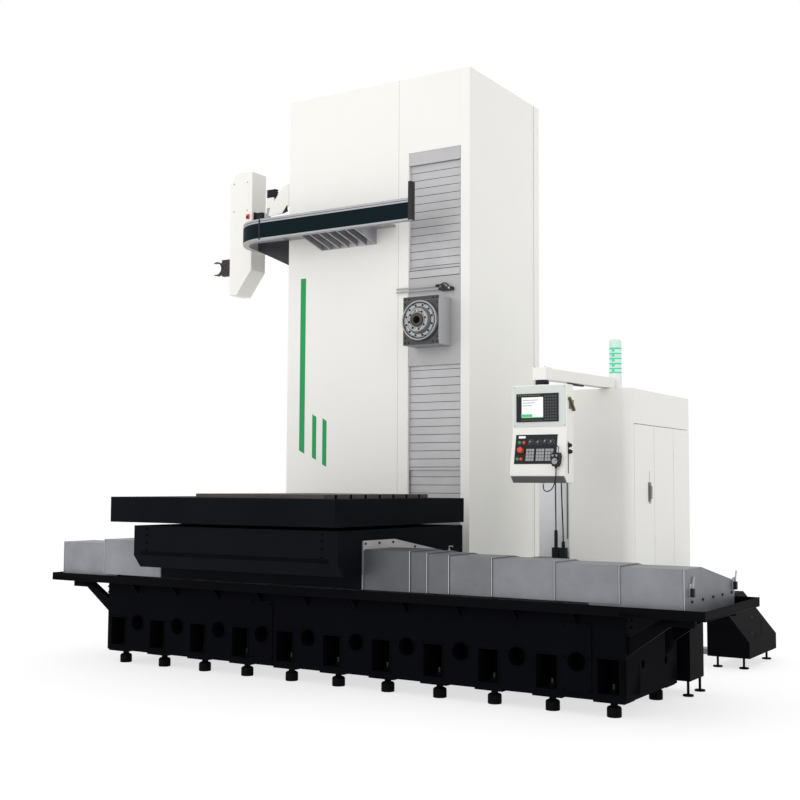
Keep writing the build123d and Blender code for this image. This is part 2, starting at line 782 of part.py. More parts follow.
def headstock():
    """The headstock: a ram out of the slot and a body beside the casting, on the guide rails."""
    stock = ram_space(RAM_FRONT, HEAD_PLATE_BACK)
    stock += block(STOCK_LEFT, STOCK_RIGHT, HEAD_PLATE_BACK, STOCK_BACK, STOCK_BOTTOM, STOCK_TOP)
    pad_left = CASTING_RIGHT + GUIDE_RISE + SLIDE_GAP
    for y in GUIDE_FRONTS:
        for z in (STOCK_BOTTOM, STOCK_TOP - GUIDE_PAD_HEIGHT):
            stock += block(pad_left, STOCK_LEFT, y, y + GUIDE_DEPTH, z, z + GUIDE_PAD_HEIGHT)
    return stock - rod_y(SPINDLE_X, SPINDLE_Z, RAM_FRONT, STOCK_BACK, SLEEVE_RADIUS + SLIDE_GAP)


def spindle_flange():
    """The round flange on the front of the ram, with a circle of bolt holes."""
    front = RAM_FRONT - FLANGE_THICKNESS
    flange = rod_y(SPINDLE_X, SPINDLE_Z, front, RAM_FRONT, FLANGE_RADIUS)
    flange -= rod_y(SPINDLE_X, SPINDLE_Z, front, RAM_FRONT, SLEEVE_RADIUS + SLIDE_GAP)
    for i in range(FLANGE_BOLTS):
        angle = 2 * math.pi * (i + 0.5) / FLANGE_BOLTS
        x = SPINDLE_X + FLANGE_BOLT_CIRCLE / 2 * math.cos(angle)
        z = SPINDLE_Z + FLANGE_BOLT_CIRCLE / 2 * math.sin(angle)
        flange -= rod_y(x, z, front, RAM_FRONT, FLANGE_BOLT_RADIUS)
    return flange


def milling_spindle():
    """The hollow spindle: a nose in front of the flange and a sleeve through the headstock."""
    nose_back = RAM_FRONT - FLANGE_THICKNESS - SLIDE_GAP
    face = nose_back - NOSE_REACH
    spindle = rod_y(SPINDLE_X, SPINDLE_Z, face, nose_back, NOSE_RADIUS)
    spindle += rod_y(SPINDLE_X, SPINDLE_Z, nose_back, SLEEVE_BACK, SLEEVE_RADIUS)
    return spindle - rod_y(SPINDLE_X, SPINDLE_Z, face, SLEEVE_BACK, BORING_RADIUS + SLIDE_GAP)


def boring_spindle():
    """The boring spindle: a long round bar with the taper for the tool in its front end."""
    face = RAM_FRONT - FLANGE_THICKNESS - SLIDE_GAP - NOSE_REACH - BORING_REACH
    bar = rod_y(SPINDLE_X, SPINDLE_Z, face, BORING_BACK, BORING_RADIUS)
    outline = [
        (0, 0),
        (TAPER_MOUTH, 0),
        (TAPER_END, TAPER_DEPTH),
        (0, TAPER_DEPTH),
    ]
    taper = Pos(SPINDLE_X, face, SPINDLE_Z) * Rot(-90, 0, 0) * round_profile(outline, 0, 0)
    return bar - taper


def coolant_pipes():
    """Two coolant pipes across the head above the ram, held in a block on the head plate."""
    low = min(PIPE_HEIGHTS) - 2 * PIPE_RADIUS
    high = max(PIPE_HEIGHTS) + 2 * PIPE_RADIUS
    front = PIPE_Y - 2 * PIPE_RADIUS
    pipes = block(PIPE_RIGHT, PIPE_BLOCK_RIGHT, front, HEAD_PLATE_FRONT, low, high)
    for z in PIPE_HEIGHTS:
        pipes += rod_x(PIPE_Y, z, PIPE_LEFT, PIPE_RIGHT, PIPE_RADIUS)
    return pipes


def rail_band(outer, inner, z0, z1):
    """The rail between two insets from its outer face and two heights."""
    centre = (RAIL_LEFT + RAIL_BEND, RAIL_FRONT + RAIL_BEND)
    diagonal = math.sqrt(0.5)
    edges = []
    rows = []
    for inset in (outer, inner):
        radius = RAIL_BEND - inset
        knee = (centre[0] - radius * diagonal, centre[1] - radius * diagonal)
        front = RAIL_FRONT + inset
        left = RAIL_LEFT + inset
        row = [(RAIL_RIGHT, front), (centre[0], front), (left, centre[1]), (left, RAIL_BACK)]
        edges += [Line(row[0], row[1]), ThreePointArc(row[1], knee, row[2]), Line(row[2], row[3])]
        rows.append(row)
    edges += [Line(rows[0][0], rows[1][0]), Line(rows[0][3], rows[1][3])]
    return Pos(0, 0, z0) * extrude(make_face(edges), amount=z1 - z0, dir=(0, 0, 1))


def changer_rail():
    """The changer's rail: a sunk band between two edge rails, with a stop post at its end."""
    rail = rail_band(0, RAIL_THICKNESS, RAIL_LOW, RAIL_BAND_LOW)
    rail += rail_band(RAIL_BAND_INSET, RAIL_THICKNESS, RAIL_BAND_LOW, RAIL_BAND_HIGH)
    rail += rail_band(0, RAIL_THICKNESS, RAIL_BAND_HIGH, RAIL_HIGH)
    post_left = RAIL_RIGHT - RAIL_POST_WIDTH
    post_back = RAIL_FRONT + RAIL_THICKNESS
    post_top = RAIL_HIGH + RAIL_POST_RISE
    return rail + block(post_left, RAIL_RIGHT, RAIL_FRONT, post_back, RAIL_HIGH, post_top)


def front_bracket():
    """The ribbed bracket between the column's front and the straight run of the rail."""
    inner = RAIL_FRONT + RAIL_THICKNESS
    left, right = BRACKET_FRONT_SPAN
    low = BRACKET_TOP - BRACKET_PLATE
    back = COLUMN_FRONT - BRACKET_PLATE
    shelf = block(COLUMN_LEFT, BRACKET_SHELF_RIGHT, inner, COLUMN_FRONT, low, BRACKET_TOP)
    web = block(left, right, back, COLUMN_FRONT, BRACKET_FACE, low)
    profile = [(inner, RAIL_LOW), (back, BRACKET_FACE), (back, low), (inner, low)]
    step = (right - left - BRACKET_RIB) / (BRACKET_RIBS - 1)
    ribs = []
    for i in range(BRACKET_RIBS):
        x = left + i * step
        ribs.append(along_x(profile, x, x + BRACKET_RIB))
    return [shelf, web] + ribs


def side_bracket():
    """The ribbed bracket between the column's left side and the rail's side run."""
    inner = RAIL_LEFT + RAIL_THICKNESS
    front, back = SIDE_WEB_SPAN
    low = BRACKET_TOP - BRACKET_PLATE
    face = COLUMN_LEFT - BRACKET_PLATE
    shelf = block(inner, COLUMN_LEFT, front, back, low, BRACKET_TOP)
    web = block(face, COLUMN_LEFT, front, back, SIDE_WEB_LOW, low)
    profile = [(inner, RAIL_LOW), (face, SIDE_WEB_LOW), (face, low), (inner, low)]
    step = (back - front - BRACKET_RIB) / (SIDE_WEB_RIBS - 1)
    ribs = []
    for i in range(SIDE_WEB_RIBS):
        y = front + i * step
        ribs.append(along_y(profile, y, y + BRACKET_RIB))
    return [shelf, web] + ribs


def changer_bracket():
    """Both brackets that carry the rail."""
    return group(front_bracket() + side_bracket())


def changer_housing():
    """The tool carrier's tall housing outside the rail, cut back at its foot."""
    left, right = HOUSING_LEFT, HOUSING_RIGHT
    profile = [
        (left, HOUSING_BOTTOM),
        (left + HOUSING_TOE, HOUSING_BOTTOM),
        (right, HOUSING_KNEE),
        (right, HOUSING_TOP),
        (left + HOUSING_BEVEL, HOUSING_TOP),
        (left, HOUSING_TOP - HOUSING_BEVEL),
    ]
    housing = along_y(profile, HOUSING_FRONT, HOUSING_BACK)
    housing = chamfer(housing.edges().filter_by(Axis.Z), HOUSING_EDGE)
    front = (HOUSING_FRONT + HOUSING_BACK - CARRIAGE_DEPTH) / 2
    carriage = block(right, RAIL_LEFT, front, front + CARRIAGE_DEPTH, CARRIAGE_LOW, CARRIAGE_HIGH)
    return group([housing, carriage])


def changer_gripper():
    """The gripper: an arm out of the housing that ends in two curved fingers."""
    y0 = (HOUSING_FRONT + HOUSING_BACK - GRIPPER_THICKNESS) / 2
    y1 = y0 + GRIPPER_THICKNESS
    tip = HOUSING_LEFT - GRIPPER_REACH
    height = (GRIPPER_LOW + GRIPPER_HIGH) / 2
    profile = [
        (HOUSING_LEFT, GRIPPER_LOW),
        (HOUSING_LEFT, GRIPPER_HIGH),
        (tip + FINGER_WIDTH, GRIPPER_HIGH),
        (tip, height + FINGER_RADIUS / 2),
        (tip, height - FINGER_RADIUS / 2),
        (tip + FINGER_WIDTH, GRIPPER_LOW),
    ]
    arm = along_y(profile, y0, y1)
    outer = FINGER_RADIUS + FINGER_WIDTH
    ring = rod_y(FINGER_CENTRE, height, y0, y1, outer)
    ring -= rod_y(FINGER_CENTRE, height, y0, y1, FINGER_RADIUS)
    mouth_low = height - FINGER_RADIUS
    mouth_high = height + FINGER_RADIUS
    ring -= block(FINGER_CENTRE - outer, FINGER_CENTRE, y0, y1, mouth_low, mouth_high)
    return arm + ring


def cabinet_body():
    """The switch cabinet: a shell with a rounded front corner and a frame for three doors."""
    body = block(CABINET_LEFT, CABINET_RIGHT, CABINET_FRONT, CABINET_BACK, 0, CABINET_TOP)
    corner = body.edges().filter_by(Axis.Z).sort_by(Axis.Y)[0:2].sort_by(Axis.X)[-1]
    body = fillet(corner, CABINET_CORNER)
    seat = CABINET_RIGHT - DOOR_SHEET - SLIDE_GAP
    body -= block(seat, CABINET_RIGHT, DOOR_LINES[0], DOOR_LINES[-1], DOOR_BOTTOM, DOOR_TOP)
    left = CABINET_LEFT + CABINET_WALL
    front = CABINET_FRONT + CABINET_WALL + CABINET_CORNER
    back = CABINET_BACK - CABINET_WALL
    floor = DOOR_BOTTOM + CABINET_FRAME
    ceiling = DOOR_TOP - CABINET_FRAME
    inside = seat - CABINET_WALL
    body -= block(left, inside, front, back, floor, ceiling)
    for i in range(len(DOOR_LINES) - 1):
        low = DOOR_LINES[i] + CABINET_FRAME
        high = DOOR_LINES[i + 1] - CABINET_FRAME
        body -= block(inside, seat, low, high, floor, ceiling)
    return body


def cabinet_door(index):
    """One leaf of the cabinet's doors, hung at its front edge on three hinge knuckles."""
    left = CABINET_RIGHT - DOOR_SHEET
    front = DOOR_LINES[index] + DOOR_GAP
    back = DOOR_LINES[index + 1]
    leaf = block(left, CABINET_RIGHT, front, back, DOOR_BOTTOM + DOOR_GAP, DOOR_TOP - DOOR_GAP)
    lowest = DOOR_BOTTOM + HINGE_INSET
    step = (DOOR_TOP - HINGE_INSET - HINGE_LENGTH - lowest) / 2
    for i in range(3):
        z = lowest + i * step
        leaf += rod_z(CABINET_RIGHT, front, z, z + HINGE_LENGTH, HINGE_RADIUS)
    return leaf


def light_tower():
    """The signal light: a round base and a stack of lenses under a rounded cap."""
    base = rod_z(TOWER_X, TOWER_Y, CABINET_TOP, TOWER_BASE_TOP, TOWER_RADIUS)
    stack = rod_z(TOWER_X, TOWER_Y, TOWER_BASE_TOP, TOWER_TOP, TOWER_RADIUS)
    stack = fillet(stack.edges().sort_by(Axis.Z)[-1], TOWER_RADIUS / 4)
    lens = (TOWER_TOP - TOWER_BASE_TOP) / (TOWER_LENSES + 1)
    for i in range(1, TOWER_LENSES + 1):
        z = TOWER_BASE_TOP + i * lens
        ring = rod_z(TOWER_X, TOWER_Y, z, z + TOWER_GROOVE, TOWER_RADIUS)
        stack -= ring - rod_z(TOWER_X, TOWER_Y, z, z + TOWER_GROOVE, TOWER_RADIUS - TOWER_GROOVE)
    return base + stack


def service_cabinet():
    """The small service cabinet behind the table, with two cable glands on its front."""
    body = block(SERVICE_LEFT, SERVICE_RIGHT, SERVICE_FRONT, SERVICE_BACK, 0, SERVICE_TOP)
    body = chamfer(body.edges().filter_by(Axis.Z), SERVICE_EDGE)
    for x in GLAND_X:
        body += rod_y(x, GLAND_Z, SERVICE_FRONT - GLAND_REACH, SERVICE_FRONT, GLAND_RADIUS)
    return body


def cable_connectors():
    """The shelf on the service cabinet with the two connectors that the cables end in."""
    left = SERVICE_LEFT + SERVICE_EDGE
    right = SERVICE_RIGHT - SERVICE_EDGE
    connectors = block(left, right, SHELF_FRONT, SERVICE_FRONT, SHELF_TOP - SHELF_SHEET, SHELF_TOP)
    half = CONNECTOR_SIZE / 2
    for x, boot_top in zip(CONNECTOR_X, BOOT_TOPS):
        y0, y1 = CONNECTOR_Y - half, CONNECTOR_Y + half
        connectors += block(x - half, x + half, y0, y1, SHELF_TOP, CONNECTOR_TOP)
        connectors += rod_z(x, CONNECTOR_Y, CONNECTOR_TOP, boot_top, BOOT_RADIUS)
    return connectors


def corner_radii(points):
    """Bend radius at each inner point of a cord: as large as its two runs allow."""
    radii = []
    for before, here, after in zip(points, points[1:], points[2:]):
        run_in = Vector(*here) - Vector(*before)
        run_out = Vector(*after) - Vector(*here)
        turn = math.radians(run_in.get_angle(run_out))
        shorter = min(run_in.length, run_out.length)
        radii.append(0.45 * shorter / math.tan(turn / 2))
    return radii


def cord(name, points, radius):
    """A round cord along straight runs joined by tangent arcs."""
    radii = corner_radii(points)
    print(name, "bend radii", [round(r) for r in radii])
    path = FilletPolyline(*points, radius=radii)
    start = Plane(origin=path @ 0, z_dir=path % 0)
    return sweep(start * Circle(radius), path=path)


def hanging_cable(index):
    """A cable that bends down out of a gland on the service cabinet and hangs to its connector."""
    gland_x = GLAND_X[index]
    connector_x = CONNECTOR_X[index]
    boot_top = BOOT_TOPS[index]
    out = SERVICE_FRONT - GLAND_REACH
    far = CABLE_RUN * math.cos(CABLE_TURN)
    near = CABLE_RUN * math.sin(CABLE_TURN)
    points = [
        (gland_x, out, GLAND_Z),
        (gland_x, out - CABLE_RUN, GLAND_Z),
        (gland_x, out - CABLE_RUN - far, GLAND_Z - near),
        (gland_x, CONNECTOR_Y, GLAND_Z - near - far),
        (connector_x, CONNECTOR_Y, boot_top + CABLE_RUN),
        (connector_x, CONNECTOR_Y, boot_top),
    ]
    return cord(f"hanging_cable_{index + 1}", points, CABLE_RADIUS)


def pendant_arm():
    """The arm: a beam that swings on the cabinet's roof, with a square box at its far end."""
    reach_x = ARM_END[0] - ARM_PIVOT[0]
    reach_y = ARM_END[1] - ARM_PIVOT[1]
    length = math.hypot(reach_x, reach_y)
    angle = math.degrees(math.atan2(reach_y, reach_x))
    height = ARM_HIGH - ARM_LOW
    middle = (ARM_LOW + ARM_HIGH) / 2
    beam = Pos(length / 2, 0, middle) * Box(length, ARM_WIDTH, height)
    beam = Pos(*ARM_PIVOT, 0) * Rot(0, 0, angle) * beam
    beam += rod_z(*ARM_PIVOT, ARM_LOW, ARM_HIGH, ARM_WIDTH / 2)
    beam += rod_z(*ARM_PIVOT, CABINET_TOP + SLIDE_GAP, ARM_LOW, PIVOT_RADIUS)
    box = Pos(*ARM_END, middle) * Box(ARM_BOX, ARM_BOX, height + 2 * ARM_EDGE)
    return beam + chamfer(box.edges().filter_by(Axis.Z), ARM_EDGE)


def console_depth(height):
    """How far forward the case's raked console stands at a height."""
    share = (CONSOLE_TOP - height) / (CONSOLE_TOP - CONSOLE_LOW)
    return CASE_FRONT + (CONSOLE_FRONT - CASE_FRONT) * share


def lead_start():
    """Where the hand-held unit's lead leaves it, in x and y."""
    x = WHEEL_LEFT + WHEEL_WIDTH / 2
    return x, console_depth(WHEEL_LOW) - SLIDE_GAP - WHEEL_THICKNESS / 2


def pendant_case():
    """The operator's case: an upright screen part over a raked console, on a round neck."""
    profile = [
        (CASE_BACK, CASE_TOP),
        (CASE_FRONT, CASE_TOP),
        (CASE_FRONT, CONSOLE_TOP),
        (CONSOLE_FRONT, CONSOLE_LOW),
        (CONSOLE_FRONT, CONSOLE_LIP),
        (CASE_FRONT, CASE_BOTTOM),
        (CASE_BACK, CASE_BOTTOM),
    ]
    case = along_x(profile, CASE_LEFT, CASE_RIGHT)
    case += rod_z(*ARM_END, CASE_TOP, ARM_LOW - ARM_EDGE - SLIDE_GAP, NECK_RADIUS)
    gland_x = lead_start()[0] - LEAD_REACH
    return case + rod_z(gland_x, ARM_END[1], CASE_BOTTOM - LEAD_GLAND, CASE_BOTTOM, LEAD_GLAND_RADIUS)


def handwheel_unit():
    """The hand-held unit on the console's right, with its small wheel."""
    low = console_depth(WHEEL_LOW) - SLIDE_GAP
    high = console_depth(WHEEL_HIGH) - SLIDE_GAP
    profile = [
        (low, WHEEL_LOW),
        (high, WHEEL_HIGH),
        (high - WHEEL_THICKNESS, WHEEL_HIGH),
        (low - WHEEL_THICKNESS, WHEEL_LOW),
    ]
    unit = along_x(profile, WHEEL_LEFT, WHEEL_LEFT + WHEEL_WIDTH)
    tilt = math.degrees(math.atan2(high - low, WHEEL_HIGH - WHEEL_LOW))
    middle_z = (WHEEL_LOW + WHEEL_HIGH - WHEEL_RADIUS) / 2
    middle_y = console_depth(middle_z) - SLIDE_GAP - WHEEL_THICKNESS
    place = Pos(WHEEL_LEFT + WHEEL_WIDTH / 2, middle_y, middle_z) * Rot(90 - tilt, 0, 0)
    unit += place * Cylinder(WHEEL_RADIUS, WHEEL_RADIUS)
    return unit + rod_z(*lead_start(), WHEEL_LOW - LEAD_GLAND, WHEEL_LOW, LEAD_GLAND_RADIUS)


def handwheel_lead():
    """The limp lead of the hand-held unit, looped under the console to a gland in its floor."""
    x, y = lead_start()
    z = WHEEL_LOW - LEAD_GLAND
    points = [(x, y, z)]
    for share, drop in LEAD_ROUTE:
        points.append((x - share * LEAD_REACH, y + share * (ARM_END[1] - y), z - drop))
    points.append((x - LEAD_REACH, ARM_END[1], CASE_BOTTOM - LEAD_GLAND))
    return cord("handwheel_lead", points, LEAD_RADIUS)


def chip_conveyor():
    """The chip conveyor: an open trough with a belt of cleats, held to the bed by lugs."""
    wall = CONVEYOR_WALL
    trough = block(
        CONVEYOR_LEFT, CONVEYOR_RIGHT, CONVEYOR_FRONT, CONVEYOR_BACK, CONVEYOR_BOTTOM, CONVEYOR_TOP
    )
    left, right = CONVEYOR_LEFT + wall, CONVEYOR_RIGHT - wall
    front, back = CONVEYOR_FRONT + wall, CONVEYOR_BACK - wall
    belt = CONVEYOR_TOP - CONVEYOR_DEPTH
    trough -= block(left, right, front, back, belt, CONVEYOR_TOP)
    for i in range(1, math.ceil((right - left) / CLEAT_PITCH)):
        x = left + i * CLEAT_PITCH
        trough += block(x - CLEAT_THICKNESS, x, front, back, belt, belt + CLEAT_RISE)
    for i in LUG_PORT_INDEX:
        lug_left = PORT_PLACES[i] + (WINDOW_PITCH - LUG_WIDTH) / 2
        trough += block(lug_left, lug_left + LUG_WIDTH, BED_SIDE, CONVEYOR_FRONT, LUG_LOW, LUG_HIGH)
    return trough


def coolant_tank():
    """The coolant tank: a low box at the right rear whose lid slopes down to its end."""
    profile = [
        (TANK_LEFT, TANK_BOTTOM),
        (TANK_RIGHT, TANK_BOTTOM),
        (TANK_RIGHT, TANK_SHOULDER),
        (TANK_RIGHT - TANK_SLOPE, TANK_TOP),
        (TANK_LEFT, TANK_TOP),
    ]
    return along_y(profile, TANK_FRONT, TANK_BACK)


def floor_ducts():
    """The cable ducts on the floor, with a branch to the small cabinet and a riser at the tank."""
    back = DUCT_Y + DUCT_WIDTH
    ducts = block(REAR_BED_RIGHT, CABINET_LEFT, DUCT_Y, back, 0, DUCT_HEIGHT)
    ducts += block(REAR_BED_RIGHT, REAR_BED_RIGHT + DUCT_RISER, DUCT_Y, back, 0, DUCT_RISER_TOP)
    ducts += block(DUCT_BRANCH_X, DUCT_BRANCH_X + DUCT_WIDTH, SERVICE_BACK, DUCT_Y, 0, DUCT_HEIGHT)
    far = block(CABINET_RIGHT, TANK_LEFT, DUCT_Y, back, 0, DUCT_HEIGHT)
    far += block(TANK_LEFT - DUCT_RISER, TANK_LEFT, DUCT_Y, back, 0, DUCT_RISER_TOP)
    return group([ducts, far])


def build():
    """Every node of the machine by its name."""
    nodes = {
        "bed_casting": bed_casting(),
        "bed_side_front": bed_side(-1, PLATE_PORT_INDEX),
        "bed_side_back": bed_side(1, []),
        "bed_ways": bed_ways(),
        "levelling_feet": levelling_feet(),
        "chip_trays": chip_trays(),
        "chip_pans": chip_pans(),
        "chip_conveyor": chip_conveyor(),
        "floor_ducts": floor_ducts(),
        "coolant_tank": coolant_tank(),
        "rear_bed": rear_bed(),
        "column_casting": column_casting(),
        "column_front_covers": column_front_covers(),
        "column_left_cover": column_left_cover(),
        "column_right_cover": column_right_cover(),
        "column_back_cover": column_back_cover(),
        "column_top_cover": column_top_cover(),
        "apron_fixed": apron_fixed(),
        "apron_on_head": apron_on_head(),
        "apron_upper_mid": apron_mid(SLOT_TOP - UPPER_MID_DROP, SLOT_TOP + UPPER_MID_RISE),
        "apron_lower_mid": apron_mid(*LOWER_MID),
        "saddle": saddle(),
        "cover_flanges": cover_flanges(),
        "rotary_table": rotary_table(),
        "head_plate": head_plate(),
        "headstock": headstock(),
        "spindle_flange": spindle_flange(),
        "coolant_pipes": coolant_pipes(),
        "milling_spindle": milling_spindle(),
        "boring_spindle": boring_spindle(),
        "changer_rail": changer_rail(),
        "changer_bracket": changer_bracket(),
        "changer_housing": changer_housing(),
        "changer_gripper": changer_gripper(),
        "cabinet_body": cabinet_body(),
        "light_tower": light_tower(),
        "service_cabinet": service_cabinet(),
        "cable_connectors": cable_connectors(),
        "pendant_arm": pendant_arm(),
        "pendant_case": pendant_case(),
        "handwheel_unit": handwheel_unit(),
        "handwheel_lead": handwheel_lead(),
    }
    for i in range(len(RIGHT_ENDS)):
        nodes[f"way_cover_right_{i + 1}"] = right_cover(i)
    for i in range(len(LEFT_STARTS)):
        nodes[f"way_cover_left_{i + 1}"] = left_cover(i)
    for i in range(len(DOOR_LINES) - 1):
        nodes[f"cabinet_door_{i + 1}"] = cabinet_door(i)
    for i in range(len(GLAND_X)):
        nodes[f"hanging_cable_{i + 1}"] = hanging_cable(i)
    return nodes


os.makedirs("parts", exist_ok=True)
for name, shape in build().items():
    export_step(Pos(-MID_X, -MID_Y, 0) * shape, f"parts/{name}.step")
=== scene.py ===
"""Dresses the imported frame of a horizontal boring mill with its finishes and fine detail."""

import logging
import math
from collections.abc import Iterable, Sequence
from dataclasses import dataclass, replace
from enum import Enum

import bmesh
import bpy
from mathutils import Matrix, Vector


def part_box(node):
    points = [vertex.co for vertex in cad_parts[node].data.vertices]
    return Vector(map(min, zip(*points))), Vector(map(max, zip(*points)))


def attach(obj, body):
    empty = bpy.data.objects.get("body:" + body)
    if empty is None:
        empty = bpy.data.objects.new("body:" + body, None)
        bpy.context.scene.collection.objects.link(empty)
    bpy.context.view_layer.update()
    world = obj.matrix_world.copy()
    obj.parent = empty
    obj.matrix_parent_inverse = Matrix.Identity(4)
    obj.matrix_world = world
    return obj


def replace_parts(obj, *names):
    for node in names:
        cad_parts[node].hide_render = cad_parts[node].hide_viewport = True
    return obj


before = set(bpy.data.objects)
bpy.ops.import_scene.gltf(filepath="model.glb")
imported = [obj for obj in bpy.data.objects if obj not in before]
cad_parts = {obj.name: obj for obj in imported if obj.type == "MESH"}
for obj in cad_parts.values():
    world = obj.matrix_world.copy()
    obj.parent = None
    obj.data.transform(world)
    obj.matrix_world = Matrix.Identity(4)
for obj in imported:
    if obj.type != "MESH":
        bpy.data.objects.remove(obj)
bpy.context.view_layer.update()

log = logging.getLogger("boring_mill")

MM = 0.001
MID_X = -127.97
MID_Y = 1170.0

Point = tuple[float, float, float]
Span = tuple[float, float]

EVEN = (1.0, 1.0, 1.0)
WHITE = (1.0, 1.0, 1.0, 1.0)
SENSOR = 36.0


def at(x: float, y: float, z: float) -> Vector:
    """Turn millimetres from the middle of the bed into the frame's metres."""
    return Vector(((x - MID_X) * MM, (y - MID_Y) * MM, z * MM))


def node_span(node: str) -> list[Point]:
    """Give a frame piece's low and high corners in millimetres from the middle of the bed."""
    return [(c[0] / MM + MID_X, c[1] / MM + MID_Y, c[2] / MM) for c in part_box(node)]


class Body(Enum):
    """The moving groups of the machine that dressed pieces ride on."""

    BASE = "machine_base"
    SADDLE = "saddle_unit"
    TABLE = "table"
    HEAD = "head"
    UPPER = "apron_upper"
    LOWER = "apron_lower"
    MILLING = "milling"
    ARM = "arm"
    PENDANT = "pendant"


class Axis(Enum):
    """The direction that a flat outline is pulled along."""

    X = 0
    Y = 1
    Z = 2


class Facing(Enum):
    """The way that a turned piece points."""

    FRONT = (0.0, -1.0, 0.0)
    BACK = (0.0, 1.0, 0.0)
    LEFT = (-1.0, 0.0, 0.0)
    RIGHT = (1.0, 0.0, 0.0)
    UP = (0.0, 0.0, 1.0)


FRONT, BACK, LEFT, RIGHT, UP = Facing


class Side(Enum):
    """The two ends of the saddle, by the direction along the bed."""

    RIGHT = 1
    LEFT = -1


class Texture(Enum):
    """How a surface is broken up close by."""

    PAINT = "paint"
    CASTING = "casting"
    ROLLED = "rolled"
    GROUND = "ground"
    MOULDED = "moulded"


PAINT, CASTING, ROLLED, GROUND, MOULDED = Texture


@dataclass(frozen=True)
class Grain:
    """Noise sizes of a texture, per metre, and the depth of its relief in metres."""

    cloud: float
    grit: float
    stretch: Point
    depth: float


GRAINS = {
    PAINT: Grain(1.3, 700.0, EVEN, 0.00012),
    CASTING: Grain(2.2, 160.0, EVEN, 0.0006),
    ROLLED: Grain(3.5, 60.0, (1.0, 1.0, 9.0), 0.00012),
    GROUND: Grain(14.0, 260.0, EVEN, 0.00001),
    MOULDED: Grain(4.0, 900.0, EVEN, 0.0001),
}


def add_node(
    tree: bpy.types.NodeTree, kind: str, values: dict | None = None, work: str = "",
) -> bpy.types.Node:
    """Add a material node.

    Args:
        tree: The nodes that it joins.
        kind: Its type, without the common first word.
        values: Its inputs' values by their names or numbers.
        work: What it calculates, where it has a choice.

    Returns:
        The node.
    """
    node = tree.nodes.new("ShaderNode" + kind)
    if work:
        node.operation = work
    for key, value in (values or {}).items():
        node.inputs[key].default_value = value
    return node


@dataclass(frozen=True)
class Finish:
    """A paint, metal or plastic, with the texture that it shows close by."""

    name: str
    colour: Point
    slot: str
    texture: Texture = PAINT
    roughness: float = 0.45
    metallic: float = 0.0
    gloss: float = 0.5
    mottle: float = 0.05
    glow: float = 0.0

    def _noise(self, tree: bpy.types.NodeTree, scale: float, stretch: Point) -> bpy.types.NodeSocket:
        """Add a noise that follows the piece itself.

        Args:
            tree: The material's nodes.
            scale: Noise size per metre.
            stretch: How much finer the noise is along each axis.

        Returns:
            The noise's output.
        """
        place = add_node(tree, "TexCoord")
        mapping = add_node(tree, "Mapping", {"Scale": stretch})
        noise = add_node(tree, "TexNoise", {"Scale": scale, "Detail": 5.0, "Roughness": 0.6})
        tree.links.new(place.outputs["Object"], mapping.inputs["Vector"])
        tree.links.new(mapping.outputs["Vector"], noise.inputs["Vector"])
        return noise.outputs["Fac"]

    def material(self) -> bpy.types.Material:
        """Build the finish once and hand out the same one afterwards.

        Returns:
            The finish as a material of nodes.
        """
        found = bpy.data.materials.get(self.name)
        if found:
            return found
        made = bpy.data.materials.new(self.name)
        made.use_nodes = True
        tree = made.node_tree
        grain = GRAINS[self.texture]
        cloud = self._noise(tree, grain.cloud, EVEN)
        grit = self._noise(tree, grain.grit, grain.stretch)
        both = add_node(tree, "Math", {1: 0.45}, "MULTIPLY_ADD")
        shades = add_node(tree, "ValToRGB")
        for end, place, way in zip(shades.color_ramp.elements, (0.45, 1.0), (-1, 1)):
            end.position = place
            end.color = (*(min(1.0, c * (1 + way * self.mottle)) for c in self.colour), 1.0)
        low, high = max(0.03, self.roughness - 0.08), self.roughness + 0.08
        rough = add_node(tree, "MapRange", {"To Min": low, "To Max": high})
        bump = add_node(tree, "Bump", {"Strength": 0.5, "Distance": grain.depth})
        shader = tree.nodes["Principled BSDF"]
        shader.inputs["Metallic"].default_value = self.metallic
        shader.inputs["Specular IOR Level"].default_value = self.gloss
        if self.glow:
            shader.inputs["Emission Color"].default_value = self.colour + (1.0,)
            shader.inputs["Emission Strength"].default_value = self.glow
        for source, target in (
            (grit, both.inputs[0]), (cloud, both.inputs[2]), (both.outputs[0], shades.inputs["Fac"]),
            (shades.outputs["Color"], shader.inputs["Base Color"]), (grit, rough.inputs["Value"]),
            (rough.outputs["Result"], shader.inputs["Roughness"]), (grit, bump.inputs["Height"]),
            (bump.outputs["Normal"], shader.inputs["Normal"]),
        ):
            tree.links.new(source, target)
        return made


BLACK_CASTING = Finish("black_casting", (0.0042, 0.0047, 0.0066), "black_iron", CASTING, 0.7, 0, 0.035, 0.2)
BLACK_SHEET = Finish("black_sheet", (0.0022, 0.0023, 0.0034), "black_iron", PAINT, 0.65, 0, 0.03, 0.15)
BRACKET_DARK = Finish("bracket_dark", (0.045, 0.045, 0.05), "white_paint", CASTING, 0.45, 0.5, 0.4, 0.4)
BED_BLACK = Finish("bed_black", (0.0026, 0.0028, 0.0042), "black_iron", CASTING, 0.75, 0, 0.022, 0.2)
TABLE_BROWN = Finish("table_brown", (0.062, 0.05, 0.048), "bare_steel", CASTING, 0.5, 0.3, 0.3, 0.3)
BLACK_FOOT = Finish("black_foot", (0.003, 0.003, 0.0034), "black_iron", CASTING, 0.7, 0, 0.05, 0.3)
WARM_WHITE = Finish("warm_white", (0.875, 0.868, 0.832), "white_paint", PAINT, 0.5, 0, 0.25, 0.012)
PANEL_GREY_GREEN = Finish("panel_grey_green", (0.68, 0.72, 0.69), "white_paint", PAINT, 0.5, 0, 0.3, 0.02)
PALE_BLUE_GREY = Finish("pale_blue_grey", (0.86, 0.875, 0.9), "grey_paint", PAINT, 0.5, 0, 0.25, 0.02)
